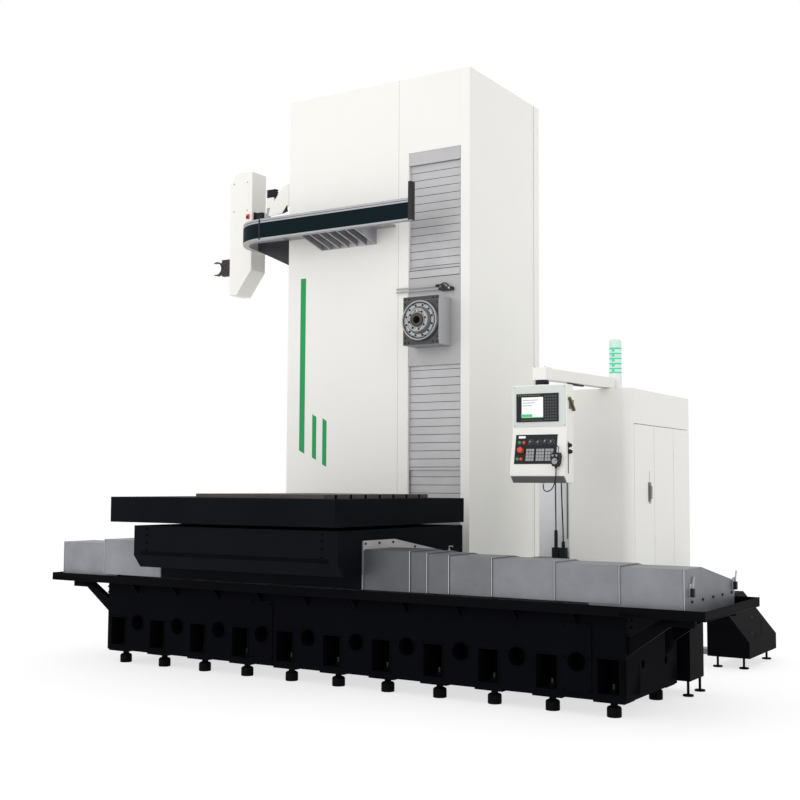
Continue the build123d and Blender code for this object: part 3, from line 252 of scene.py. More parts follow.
DUCT_GREY = Finish("duct_grey", (0.3, 0.31, 0.32), "grey_paint", PAINT, 0.5, 0, 0.35, 0.06)
COVER_GREY = Finish("cover_grey", (0.2, 0.205, 0.222), "cover_steel", ROLLED, 0.5, 0.4, 0.3, 0.2)
COVER_EDGE = Finish("cover_edge", (0.4, 0.405, 0.42), "cover_steel", ROLLED, 0.45, 0.5, 0.4, 0.08)
FLANGE_PALE = Finish("flange_pale", (0.44, 0.425, 0.42), "cover_steel", ROLLED, 0.45, 0.4, 0.4, 0.1)
SLAT_GREY = Finish("slat_grey", (0.46, 0.455, 0.465), "slat_steel", ROLLED, 0.45, 0.4, 0.4, 0.1)
PLATE_GREY = Finish("plate_grey", (0.44, 0.44, 0.445), "slat_steel", ROLLED, 0.5, 0.2, 0.3, 0.05)
RAM_GREY = Finish("ram_grey", (0.06, 0.06, 0.066), "black_iron", CASTING, 0.45, 0.4, 0.35, 0.2)
BRIGHT_STEEL = Finish("bright_steel", (0.42, 0.425, 0.44), "bare_steel", GROUND, 0.5, 0.35, 0.4, 0.12)
DULL_STEEL = Finish("dull_steel", (0.15, 0.15, 0.16), "bare_steel", GROUND, 0.5, 0.4, 0.4, 0.2)
OILED_BORE = Finish("oiled_bore", (0.055, 0.042, 0.034), "bare_steel", GROUND, 0.4, 0.4, 0.5, 0.4)
BLACK_BOLT = Finish("black_bolt", (0.012, 0.012, 0.013), "black_plastic", CASTING, 0.35, 0.3, 0.4, 0.2)
RAIL_TEAL = Finish("rail_teal", (0.0045, 0.0115, 0.0155), "black_iron", PAINT, 0.55, 0, 0.04, 0.1)
BRACKET_GREY = Finish("bracket_grey", (0.4, 0.4, 0.42), "white_paint", CASTING, 0.4, 0.6, 0.4, 0.3)
GRIPPER_BROWN = Finish("gripper_brown", (0.045, 0.034, 0.032), "bare_steel", CASTING, 0.42, 0.5, 0.4, 0.25)
STRIPE_GREEN = Finish("stripe_green", (0.02, 0.33, 0.1), "white_paint", PAINT, 0.4, 0, 0.2, 0.05)
BLACK_RUBBER = Finish("black_rubber", (0.014, 0.014, 0.015), "black_plastic", MOULDED, 0.6, 0, 0.35, 0.15)
BLACK_PANEL = Finish("black_panel", (0.015, 0.017, 0.02), "black_plastic", MOULDED, 0.45, 0, 0.15, 0.1)
KEY_GREY = Finish("key_grey", (0.36, 0.37, 0.38), "black_plastic", MOULDED, 0.5, 0, 0.4, 0.05)
KEY_DARK = Finish("key_dark", (0.05, 0.053, 0.058), "black_plastic", MOULDED, 0.5, 0, 0.4, 0.1)
STOP_RED = Finish("stop_red", (0.72, 0.045, 0.02), "black_plastic", MOULDED, 0.3, 0, 0.5, 0.05)
START_GREEN = Finish("start_green", (0.01, 0.3, 0.1), "black_plastic", MOULDED, 0.3, 0, 0.5, 0.05)
SCREEN_WHITE = Finish("screen_white", (0.86, 0.87, 0.87), "lens_plastic", MOULDED, 0.2, 0, 0.5, 0.01, 0.12)
SCREEN_GREEN = Finish("screen_green", (0.05, 0.46, 0.16), "lens_plastic", MOULDED, 0.2, 0, 0.5, 0.02, 0.12)
OLIVE_BRASS = Finish("olive_brass", (0.15, 0.12, 0.055), "bare_steel", GROUND, 0.35, 0.8, 0.5, 0.2)
LENS_PALE = Finish("lens_pale", (0.66, 0.9, 0.79), "lens_plastic", MOULDED, 0.2, 0, 0.3, 0.03)
LENS_TEAL = Finish("lens_teal", (0.03, 0.62, 0.36), "lens_plastic", MOULDED, 0.2, 0, 0.4, 0.04, 0.1)
SEAM_DARK = Finish("seam_dark", (0.05, 0.05, 0.048), "black_plastic", MOULDED, 0.7, 0, 0.2, 0.05)
HANDLE_GREY = Finish("handle_grey", (0.17, 0.175, 0.165), "black_plastic", MOULDED, 0.45, 0, 0.3, 0.08)


def ring(inner: float, outer: float, low: float, high: float) -> list[Span]:
    """Give a square ring's section as (radius, height) points."""
    return [(inner, low), (inner, high), (outer, high), (outer, low)]


def disc(radius: float, high: float, low: float = 0.0) -> list[Span]:
    """Give a flat disc's section as (radius, height) points."""
    return [(0, low), (radius, low), (radius, high), (0, high)]


def screw(radius: float, crown: float, shoulder: float, high: float) -> list[Span]:
    """Give a domed screw head's section as (radius, height) points."""
    return [(0, 0), (radius, 0), (crown, shoulder), (0, high)]


class Shape:
    """A mesh put together from plain forms, sized in millimetres from the middle of the bed.

    In its methods, look is the number of the finish that a form takes.
    """

    def __init__(self, *finishes: Finish) -> None:
        """Start an empty mesh whose forms choose from the finishes by number."""
        self.finishes = finishes
        self.mesh = bmesh.new()

    def _skin(self, rings: Sequence[Sequence[Vector]], look: int, loop: bool = False) -> None:
        """Join rings of points into a closed skin.

        Args:
            rings: Rings of places in millimetres, each with one point or as many as the rest.
            look: Number of the finish.
            loop: Whether the last ring joins the first instead of both being capped.
        """
        made = [[self.mesh.verts.new(at(*place)) for place in points] for points in rings]
        faces = []
        pairs = list(zip(made, made[1:])) + ([(made[-1], made[0])] if loop else [])
        for low, high in pairs:
            count = max(len(low), len(high))
            for i in range(count):
                j = (i + 1) % count
                corners = (low[i % len(low)], low[j % len(low)], high[j % len(high)], high[i % len(high)])
                corners = list(dict.fromkeys(corners))
                if len(corners) > 2:
                    faces.append(self.mesh.faces.new(corners))
        if not loop:
            faces += [self.mesh.faces.new(cap) for cap in (made[0], made[-1]) if len(cap) > 2]
        for face in faces:
            face.material_index = look

    def prism(self, axis: Axis, outline: Sequence[Span], low: float, high: float, look: int = 0) -> None:
        """Pull a flat outline along an axis.

        Args:
            axis: The axis that the outline is pulled along.
            outline: Points in the two other axes, in their order.
            low: Where the form starts.
            high: Where the form ends.
            look: Number of the finish.
        """
        cut = axis.value
        self._skin([[(*p[:cut], depth, *p[cut:]) for p in outline] for depth in (low, high)], look)

    def block(self, x: Span, y: Span, z: Span, look: int = 0) -> None:
        """Add a box between spans along the bed, towards the column and above the floor."""
        self.prism(Axis.Z, [(x[0], y[0]), (x[1], y[0]), (x[1], y[1]), (x[0], y[1])], *z, look)

    def blocks(self, *rows: tuple) -> None:
        """Add boxes, each given as its three spans and its finish."""
        for row in rows:
            self.block(*row)

    def turned(
        self, base: Sequence[float], way: Facing | Vector, outline: Sequence[Span],
        sides: int = 24, look: int = 0, loop: bool = False,
    ) -> None:
        """Spin an outline round an axis.

        Args:
            base: Foot of the axis.
            way: The direction in which heights grow.
            outline: (radius, height) points.
            sides: Number of flats round the piece.
            look: Number of the finish.
            loop: Whether the outline closes on itself, as for a ring.
        """
        up = (Vector(way.value) if isinstance(way, Facing) else way).normalized()
        side = Vector((1.0, 0.0, 0.0)) if abs(up.x) < 0.7 else Vector((0.0, 1.0, 0.0))
        side = (side - up * side.dot(up)).normalized()
        other = up.cross(side)
        angles = [2 * math.pi * (i + 0.5) / sides for i in range(sides)]
        rings = []
        for radius, height in outline:
            middle = Vector(base) + up * height
            spokes = [radius * (side * math.cos(a) + other * math.sin(a)) for a in angles]
            rings.append([middle + spoke for spoke in spokes] if radius else [middle])
        self._skin(rings, look, loop)

    def bolt(self, base: Point, way: Facing, radius: float, look: int = 0) -> None:
        """Add a socket head bolt.

        Args:
            base: Where its head meets the surface.
            way: The direction in which the head stands up.
            radius: Radius of the head.
            look: Number of the finish.
        """
        height = radius * 0.9
        outline = [
            (0, 0), (radius, 0), (radius, height * 0.8), (radius * 0.85, height),
            (radius * 0.5, height), (radius * 0.5, height * 0.45), (0, height * 0.45),
        ]
        self.turned(base, way, outline, 12, look)

    def pipe(self, points: Sequence[Point], radius: float, sides: int = 12, look: int = 0) -> None:
        """Add a round bar that follows points.

        Args:
            points: Places along its middle.
            radius: Radius of the bar.
            sides: Number of flats round the bar.
            look: Number of the finish.
        """
        line = [Vector(p) for p in points]
        angles = [2 * math.pi * k / sides for k in range(sides)]
        rings = []
        normal = (line[1] - line[0]).normalized().orthogonal().normalized()
        for i, middle in enumerate(line):
            along = (line[min(i + 1, len(line) - 1)] - line[max(i - 1, 0)]).normalized()
            normal = (normal - along * normal.dot(along)).normalized()
            other = along.cross(normal)
            rings.append([middle + radius * (normal * math.cos(a) + other * math.sin(a)) for a in angles])
        self._skin(rings, look)

    def tile(self, centre: Vector, right: Vector, up: Vector, size: Point, look: int = 0) -> None:
        """Add a small box that lies on a slanting face.

        Args:
            centre: Middle of its foot.
            right: Unit direction of its width.
            up: Unit direction of its height.
            size: Width, height and how far it stands off the face.
            look: Number of the finish.
        """
        width, height, thick = size
        foot = [
            centre + right * (a * width / 2) + up * (b * height / 2)
            for a, b in ((-1, -1), (1, -1), (1, 1), (-1, 1))
        ]
        self._skin([foot, [p + right.cross(up) * thick for p in foot]], look)

    def rim(self, y: Span, x: Span, z: Span, width: float, look: int = 0) -> None:
        """Add a raised frame round an upright opening that faces front or back.

        Args:
            y: Span of its thickness.
            x: Span of the opening along the bed.
            z: Span of the opening above the floor.
            width: Width of the frame's bars.
            look: Number of the finish.
        """
        rings = []
        for depth, grow in ring(y[0], y[1], 0.0, width):
            left, right, low, high = x[0] - grow, x[1] + grow, z[0] - grow, z[1] + grow
            rings.append([(left, depth, low), (right, depth, low), (right, depth, high), (left, depth, high)])
        self._skin(rings, look, True)

    def finish(self, name: str, body: Body | str, edge: float = 0.6) -> bpy.types.Object:
        """Turn the mesh into a piece of the machine.

        Args:
            name: Name of the piece.
            body: The group that it rides on.
            edge: Radius of its softened edges, in millimetres.

        Returns:
            The finished piece.
        """
        bmesh.ops.recalc_face_normals(self.mesh, faces=self.mesh.faces)
        data = bpy.data.meshes.new(name)
        self.mesh.to_mesh(data)
        self.mesh.free()
        data.shade_smooth()
        for look in self.finishes:
            data.materials.append(look.material())
        piece = link(name, data)
        soften(piece, edge)
        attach(piece, body.value if isinstance(body, Body) else body)
        log.info("made %s", name)
        return piece


def link(name: str, data: bpy.types.ID) -> bpy.types.Object:
    """Put data into the scene as an object."""
    made = bpy.data.objects.new(name, data)
    bpy.context.scene.collection.objects.link(made)
    return made


def soften(piece: bpy.types.Object, edge: float, weld: bool = False) -> None:
    """Round off the hard edges of a piece without changing its mesh.

    Args:
        piece: The piece.
        edge: Radius of the edges, in millimetres.
        weld: Whether points that lie together are joined first.
    """
    if weld:
        piece.modifiers.new("weld", "WELD").merge_threshold = 1e-5
    bevel = piece.modifiers.new("edges", "BEVEL")
    bevel.width = edge * MM
    bevel.segments = 2
    bevel.limit_method = "ANGLE"
    bevel.angle_limit = math.radians(32)
    bevel.use_clamp_overlap = True
    piece.modifiers.new("shading", "WEIGHTED_NORMAL").keep_sharp = False


def dress(finish: Finish, edge: float, *names: str) -> None:
    """Give pieces of the frame their finish and soft edges.

    Args:
        finish: Their finish.
        edge: Radius of their edges, in millimetres.
        names: The pieces.
    """
    for name in names:
        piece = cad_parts[name]
        piece.data.materials.clear()
        piece.data.materials.append(finish.material())
        for polygon in piece.data.polygons:
            polygon.material_index = 0
        soften(piece, edge, True)
        log.info("dressed %s", name)


@dataclass
class Bed:
    """The long bed on its feet, with windows, ports and chip trays."""

    end: float = 2376.0
    side: float = 500.0
    bottom: float = 115.0
    top: float = 690.0
    window_pitch: float = 450.0
    window_count: int = 11
    window_width: float = 155.0
    window_z: Span = (159.0, 391.0)
    port_height: float = 358.0
    port_radius: float = 65.0
    plated: tuple[int, ...] = (3, 9)
    plate_rise: float = 8.0
    plate_bolt_x: float = 92.0
    plate_bolts_z: Point = (172.0, 385.0, 598.0)
    strut_y: float = 450.0
    strut_bolt_y: float = 45.0
    strut_bolts_z: Span = (600.0, 650.0)
    bolt_radius: float = 9.0
    foot_inset: float = 100.0
    foot_radius: float = 50.0
    foot_neck: float = 17.2
    pad_half: float = 112.0
    gusset_reach: float = 90.0

    def window_places(self) -> list[float]:
        """Give the middles of the foot windows along the bed."""
        middle = (self.window_count - 1) / 2
        return [(i - middle) * self.window_pitch for i in range(self.window_count)]

    def port_places(self) -> list[float]:
        """Give the middles of the round ports along the bed."""
        return [x + self.window_pitch / 2 for x in self.window_places()[:-1]]

    def openings(self) -> None:
        """Add the cast rims, the bearing pads, the feet's shells and the levelling screws."""
        rims, pads, shells = Shape(BED_BLACK), Shape(BED_BLACK), Shape(BLACK_FOOT)
        screws = Shape(BLACK_BOLT, BLACK_FOOT)
        half, wide, neck, low = self.window_width / 2, self.foot_radius, self.foot_neck, self.window_z[0]
        bearing = (self.bottom - 12, self.bottom + 6)
        shell = [(neck, 2), (wide, 2), (wide, 58), (wide - 3, 66), (wide - 12, 72), (neck + 8, 76),
                 (neck + 8, 100), (neck, 100)]
        inner = self.port_radius + 1
        for way, facing in ((-1, FRONT), (1, BACK)):
            y = [way * (self.side - inset) for inset in (0, -5, 2, 190, self.foot_inset)]
            for x in self.window_places():
                rims.rim((y[0], y[1]), (x - half, x + half), self.window_z, 11)
                pads.block((x - self.pad_half, x + self.pad_half), (y[2], y[3]), bearing)
                shells.turned((x, y[4], 0), UP, shell, 28, 0, True)
                screws.turned((x, y[4], low), UP, disc(30, 4), 24, 1)
                screws.turned((x, y[4], low), UP, disc(24, 24, 4), 6, 1)
                screws.turned((x, y[4], low), UP, [(0, 24), (13, 24), (13, 56), (10, 60), (0, 60)], 16)
            for i, x in enumerate(self.port_places()):
                lift = self.plate_rise if way < 0 and i in self.plated else 0
                base = (x, way * (self.side + lift), self.port_height)
                rims.turned(base, facing, ring(inner, inner + 10, 0, 5), 32, 0, True)
        rims.finish("bed_rims", Body.BASE, 1.5)
        pads.finish("foot_pads", Body.BASE, 3.0)
        shells.finish("foot_shells", Body.BASE, 1.5)
        screws.finish("levelling_screws", Body.BASE, 1.0)

    def fastenings(self) -> None:
        """Add the bolts of the port plates and pan struts, and the gussets over the plates."""
        bolts, gussets = Shape(BED_BLACK), Shape(BLACK_SHEET)
        face, under, reach = -self.side - self.plate_rise, self.top - 0.5, self.gusset_reach
        for middle in (self.port_places()[i] for i in self.plated):
            for x in (middle - self.plate_bolt_x, middle + self.plate_bolt_x):
                for z in self.plate_bolts_z:
                    bolts.bolt((x, face, z), FRONT, self.bolt_radius)
            profile = [(face, under), (face - reach, under), (face, self.top - reach)]
            gussets.prism(Axis.X, profile, middle - 6, middle + 6)
        for way, facing in ((-1, LEFT), (1, RIGHT)):
            for strut in (-self.strut_y, self.strut_y):
                for z in self.strut_bolts_z:
                    for y in (strut + self.strut_bolt_y, strut - self.strut_bolt_y):
                        bolts.bolt((way * self.end, y, z), facing, self.bolt_radius)
        bolts.finish("bed_bolts", Body.BASE, 0.8)
        gussets.finish("plate_gussets", Body.BASE, 1.0)

    def build(self) -> None:
        """Dress the bed and add its detail."""
        dress(BED_BLACK, 3.0, "bed_casting", "bed_side_front", "bed_side_back")
        dress(BED_BLACK, 4.0, "rear_bed")
        dress(DULL_STEEL, 2.0, "bed_ways")
        dress(BLACK_FOOT, 2.0, "levelling_feet")
        dress(BLACK_SHEET, 1.0, "chip_trays", "chip_pans")
        self.openings()
        self.fastenings()


@dataclass
class WayCovers:
    """The telescopic sheet covers on both sides of the saddle."""

    right_count: int = 7
    left_count: int = 5
    front: float = -549.0
    back: float = 538.0
    ridge: float = -209.0
    top: float = 1009.0
    back_top: float = 874.0
    corner_cut: float = 1.6
    strip_width: float = 6.0
    strip_rise: float = 0.2
    wiper_width: float = 4.0
    wiper_rise: float = 0.12
    end_x: float = 2793.0
    end_bolts: tuple[float, ...] = (-407.0, -186.0, 36.0, 251.0, 466.0)
    latches: tuple[Span, ...] = ((-425.0, 860.0), (520.0, 845.0))
    lever: tuple[Span, ...] = ((6, -20), (22, -20), (26, 40), (46, 92), (32, 98), (8, 46))
    flange: tuple[Span, ...] = (
        (-614, 1125), (-175, 1125), (747, 976), (747, 902), (-175, 1052), (-614, 1052),
    )
    flange_bolts: tuple[Span, ...] = (
        (-590, 1104), (-400, 1104), (-205, 1104), (120, 1056), (430, 1006), (722, 958),
    )
    fitting: Point = (342.0, 700.0, 985.0)
    # The shades darken each right cover with painted shade, most next to the saddle; the left covers are
    # painted lighter.
    shades: tuple[float, ...] = (0.45, 0.5, 0.56, 0.76, 0.95, 1.0, 1.0)
    left_painted_light: float = 1.2

    def painted_light_cover_grey(self, side: Side, index: int) -> Finish:
        """Give a cover's grey with painted light: painted shade darkens the right covers near the saddle, and
        the left covers are painted lighter.

        Args:
            side: The side of the saddle.
            index: Number of the cover, from the saddle outwards.

        Returns:
            The finish for that cover.
        """
        share = self.shades[index - 1] if side is Side.RIGHT else self.left_painted_light
        colour = tuple(c * share for c in COVER_GREY.colour)
        return replace(COVER_GREY, name=f"{COVER_GREY.name}_{round(share * 100)}", colour=colour)

    def outline(self, grow: float, bottom: float) -> list[Span]:
        """Trace a cover's section.

        Args:
            grow: How far it stands outside the smallest cover.
            bottom: Height of its lower edge.

        Returns:
            (y, z) points from the lower front edge to the lower back edge.
        """
        cut = self.corner_cut
        near, far = self.front - grow, self.back + grow
        top, low_top = self.top + grow, self.back_top + grow
        return [
            (near, bottom), (near, top - cut), (near + cut, top), (self.ridge, top),
            (far - cut, low_top + 0.2 * cut), (far, low_top - cut), (far, bottom),
        ]

    def strips(self, side: Side, index: int, body: Body | str) -> None:
        """Add the bright folded edge and the rubber wiper at a cover's outer end.

        Args:
            side: The side of the saddle.
            index: Number of the cover, from the saddle outwards.
            body: The group that the cover moves with.
        """
        word = side.name.lower()
        low, high = node_span(f"way_cover_{word}_{index}")
        grow = high[2] - self.top
        bottom = low[2] + 4
        end = max(side.value * low[0], side.value * high[0])
        shape = Shape(COVER_EDGE, SEAM_DARK)
        inner = self.outline(grow - 0.5, bottom)[::-1]
        start = 0.0
        sizes = ((self.strip_rise, self.strip_width), (self.wiper_rise, self.wiper_width))
        for look, (rise, width) in enumerate(sizes):
            span = [side.value * (end - start), side.value * (end - start - width)]
            shape.prism(Axis.X, self.outline(grow + rise, bottom) + inner, *span, look)
            start += width
        shape.finish(f"cover_edge_{word}_{index}", body, 0.05)

    def end_fittings(self) -> None:
        """Add the bolts and the two toggle latches on the last right cover."""
        shape = Shape(BLACK_BOLT, BRIGHT_STEEL, BLACK_PANEL)
        end = self.end_x
        for y in self.end_bolts:
            shape.bolt((end, y, 793), RIGHT, 10)
        for y, z in self.latches:
            shape.block((end, end + 5), (y - 34, y + 34), (z - 40, z + 52), 1)
            shape.block((end + 5, end + 30), (y - 26, y + 2), (z - 34, z + 22), 2)
            shape.prism(Axis.X, [(y + a, z + b) for a, b in self.lever], end + 5, end + 13, 1)
            shape.turned((end + 13, y + 14, z - 8), RIGHT, disc(8, 6), 12, 1)
        shape.finish("cover_latches", Body.BASE, 0.8)

    def flange_strips(self) -> None:
        """Add the pale bolted strips along the top of the saddle's cover flanges."""
        ends = {Side.RIGHT: node_span("cover_flanges")[1][0], Side.LEFT: node_span("cover_flanges")[0][0]}
        for side, facing in ((Side.RIGHT, RIGHT), (Side.LEFT, LEFT)):
            face = ends[side] + side.value * 3
            shape = Shape(FLANGE_PALE, BLACK_BOLT)
            shape.prism(Axis.X, self.flange, ends[side], face)
            for y, z in self.flange_bolts:
                shape.bolt((face, y, z), facing, 9, 1)
            shape.finish(f"flange_strip_{side.name.lower()}", Body.SADDLE, 0.5)

    def oil_fitting(self) -> None:
        """Add the small bright oil fitting behind the right flange."""
        shape = Shape(BRIGHT_STEEL)
        x, y, z = self.fitting
        shape.turned(self.fitting, UP, [(0, 0), (16, 0), (16, 26), (10, 34), (10, 52), (0, 52)], 6)
        shape.pipe([(x, y, z + 43), (x + 10, y + 8, z + 49), (x + 38, y + 12, z + 47)], 6)
        shape.finish("oil_fitting", Body.SADDLE, 0.8)

    def build(self) -> None:
        """Dress the covers and add their detail."""
        dress(COVER_GREY, 1.5, "cover_flanges")
        for side, count in ((Side.RIGHT, self.right_count), (Side.LEFT, self.left_count)):
            for index in range(1, count + 1):
                word = side.name.lower()
                # Each cover's grey carries painted shade on the right and painted light on the left.
                dress(self.painted_light_cover_grey(side, index), 1.2, f"way_cover_{word}_{index}")
                ends = {1: Body.SADDLE, count: Body.BASE}
                self.strips(side, index, ends.get(index, f"cover_{word}_{index}"))
        self.end_fittings()
        self.flange_strips()
        self.oil_fitting()


@dataclass
class Table:
    """The saddle and the rotary table with its clamping face."""

    clamp_x: Span = (-1047.0, 200.0)
    clamp_y: Span = (-890.0, 600.0)
    clamp_top: float = 1467.0
    clamp_side: float = 30.0
    slot_middle: float = -145.0
    slot_pitch: float = 200.0
    slot_count: int = 7
    slot_half: float = 15.0
    proud: float = 0.8
    bolt_share: float = 0.93
    bolts_z: tuple[float, ...] = (1010.0, 1070.0, 1130.0, 1180.0)
    joint_z: Span = (968.0, 1000.0)

    def clamp_strips(self) -> None:
        """Add the ground strips between the table's slots and the brown faces round them."""
        shape = Shape(TABLE_BROWN)
        first = -(self.slot_count - 1) / 2
        slots = [self.slot_middle + (first + i) * self.slot_pitch for i in range(self.slot_count)]
        lips = [y + s * self.slot_half for y in slots for s in (-1, 1)]
        (left, right), (near, far), top = self.clamp_x, self.clamp_y, self.clamp_top
        edges = [near + 6, *lips, far - 6]
        for low, high in zip(edges[::2], edges[1::2]):
            shape.block((left + 6, right - 6), (low, high), (top - 1, top + self.proud))
        z = (top - self.clamp_side, top - 1)
        for y in ((near - self.proud, near + 0.4), (far - 0.4, far + self.proud)):
            shape.block((left + 2, right - 2), y, z)
        edges = [near + 2, *lips, far - 2]
        for start, end in zip(edges[::2], edges[1::2]):
            for x in ((left - self.proud, left + 0.4), (right - 0.4, right + self.proud)):
                shape.block(x, (start, end), z)
        shape.finish("clamp_strips", Body.TABLE, 0.3)

    def saddle_bolts(self) -> None:
        """Add the joint strip and the bolts near the ends of the saddle's front."""
        low, high = node_span("saddle")
        shape = Shape(BED_BLACK)
        for z in self.bolts_z:
            for share in (self.bolt_share, 1 - self.bolt_share):
                shape.bolt((low[0] + (high[0] - low[0]) * share, low[1], z), FRONT, 8)
        shape.block((low[0] + 80, high[0] - 80), (low[1] - 0.5, low[1] + 1), self.joint_z)
        shape.finish("saddle_bolts", Body.SADDLE, 0.6)

    def build(self) -> None:
        """Dress the table and add its detail."""
        dress(BLACK_CASTING, 4.0, "saddle")
        dress(BLACK_CASTING, 3.0, "rotary_table")
        self.clamp_strips()
        self.saddle_bolts()


@dataclass
class Column:
    """The clad column with its slot of slats."""

    front: float = 1530.0
    left: float = -2005.0
    right: float = 88.0
    top: float = 5455.0
    slot: Span = (-578.0, -7.0)
    slot_z: Span = (400.0, 4720.0)
    lip: float = 3.5
    apron_front: float = 1562.0
    apron_step: float = 15.0
    slat_pitch: float = 76.0
    slat_gap: float = 5.0
    stripe_x: tuple[Span, ...] = ((-1850, -1785), (-1690, -1640), (-1565, -1515))
    stripe_z: tuple[Span, ...] = ((1850, 3615), (1787, 2215), (1718, 2172))
    stripe_slants: tuple[bool, ...] = (False, True, True)
    seams_z: Span = (1900.0, 3600.0)
    seam: float = 3.0

    def stripes(self) -> None:
        """Add the three plain green bars on the wide front cover."""
        shape = Shape(STRIPE_GREEN)
        for (left, right), (low, high), slanted in zip(self.stripe_x, self.stripe_z, self.stripe_slants):
            slant = (right - left) * 0.55
            upper = high + slant * slanted
            outline = [(left, low + slant), (right, low), (right, high), (left, upper)]
            shape.prism(Axis.Y, outline, self.front - 1.0, self.front + 0.5)
        shape.finish("green_bars", Body.BASE, 0.2)

    def slot_trim(self) -> None:
        """Add the dark right lip and the white left lip of the slot."""
        shape = Shape(SEAM_DARK, WARM_WHITE)
        (left, right), near = self.slot, self.front + 3
        shape.block((right - self.lip, right), (near, self.front + 22), self.slot_z, 0)
        shape.block((left, left + self.lip), (near, self.front + 31), self.slot_z, 1)
        shape.finish("slot_lips", Body.BASE, 0.4)

    def slats(self) -> None:
        """Replace the moving apron sheets by ones with every slat and its dark joint."""
        for node, body, layer, spans in (
            ("apron_on_head", Body.HEAD, 0, ((3555, 4748), (1686, 2699))),
            ("apron_upper_mid", Body.UPPER, 1, ((4060, 5080),)),
            ("apron_lower_mid", Body.LOWER, 1, ((1050, 2000),)),
        ):
            x = tuple(c[0] for c in node_span(node))
            shape = Shape(SLAT_GREY, SEAM_DARK)
            front = self.apron_front + layer * self.apron_step
            for low, high in spans:
                shape.block(x, (front + 3, front + 10), (low, high), 1)
                z = high
                while z > low + 4:
                    foot = max(low, z - self.slat_pitch + self.slat_gap)
                    shape.block(x, (front, front + 3.4), (foot, z))
                    z -= self.slat_pitch
            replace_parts(shape.finish(f"{node}_slats", body, 0.5), node)

    def seams(self) -> None:
        """Add the fine joints and screws of the side and back covers."""
        shape = Shape(SEAM_DARK, WARM_WHITE)
        low, high = node_span("column_back_cover")
        back = high[1]
        y = (back - 1, back + 0.6)
        for z in self.seams_z:
            shape.block((low[0] + 4, high[0] - 4), y, (z, z + self.seam))
        middle = (low[0] + high[0]) / 2
        shape.block((middle, middle + self.seam), y, (low[2] + 4, high[2] - 4))
        for z in range(600, 5400, 480):
            for x in (low[0] + 30, middle - 30, middle + 33, high[0] - 30):
                shape.turned((x, back, z), BACK, [(0, 0), (9, 0), (7, 4), (0, 5)], 12, 1)
        low, high = node_span("column_right_cover")
        shape.block((high[0] - 0.5, high[0] + 0.8), (high[1] - 128, high[1] - 124), (low[2] + 4, high[2] - 4))
        shape.finish("cover_seams", Body.BASE, 0.3)

    def roof_plugs(self) -> None:
        """Add four plugs over the lifting points in the roof."""
        shape = Shape(WARM_WHITE)
        plug = [(0, 0), (48, 0), (48, 5), (42, 8), (0, 8)]
        for x in (self.left + 300, self.right - 300):
            for y in (self.front + 300, self.front + 1190):
                shape.turned((x, y, self.top - 2), UP, plug, 32)
        shape.finish("roof_plugs", Body.BASE, 0.8)

    def build(self) -> None:
        """Dress the column and add its detail."""
        dress(BLACK_CASTING, 4.0, "column_casting")
        dress(WARM_WHITE, 3.0, "column_front_covers",
              *(f"column_{side}_cover" for side in ("left", "right", "back", "top")))
        dress(SLAT_GREY, 0.8, "apron_fixed")
        self.stripes()
        self.slot_trim()
        self.slats()
        self.seams()
        self.roof_plugs()


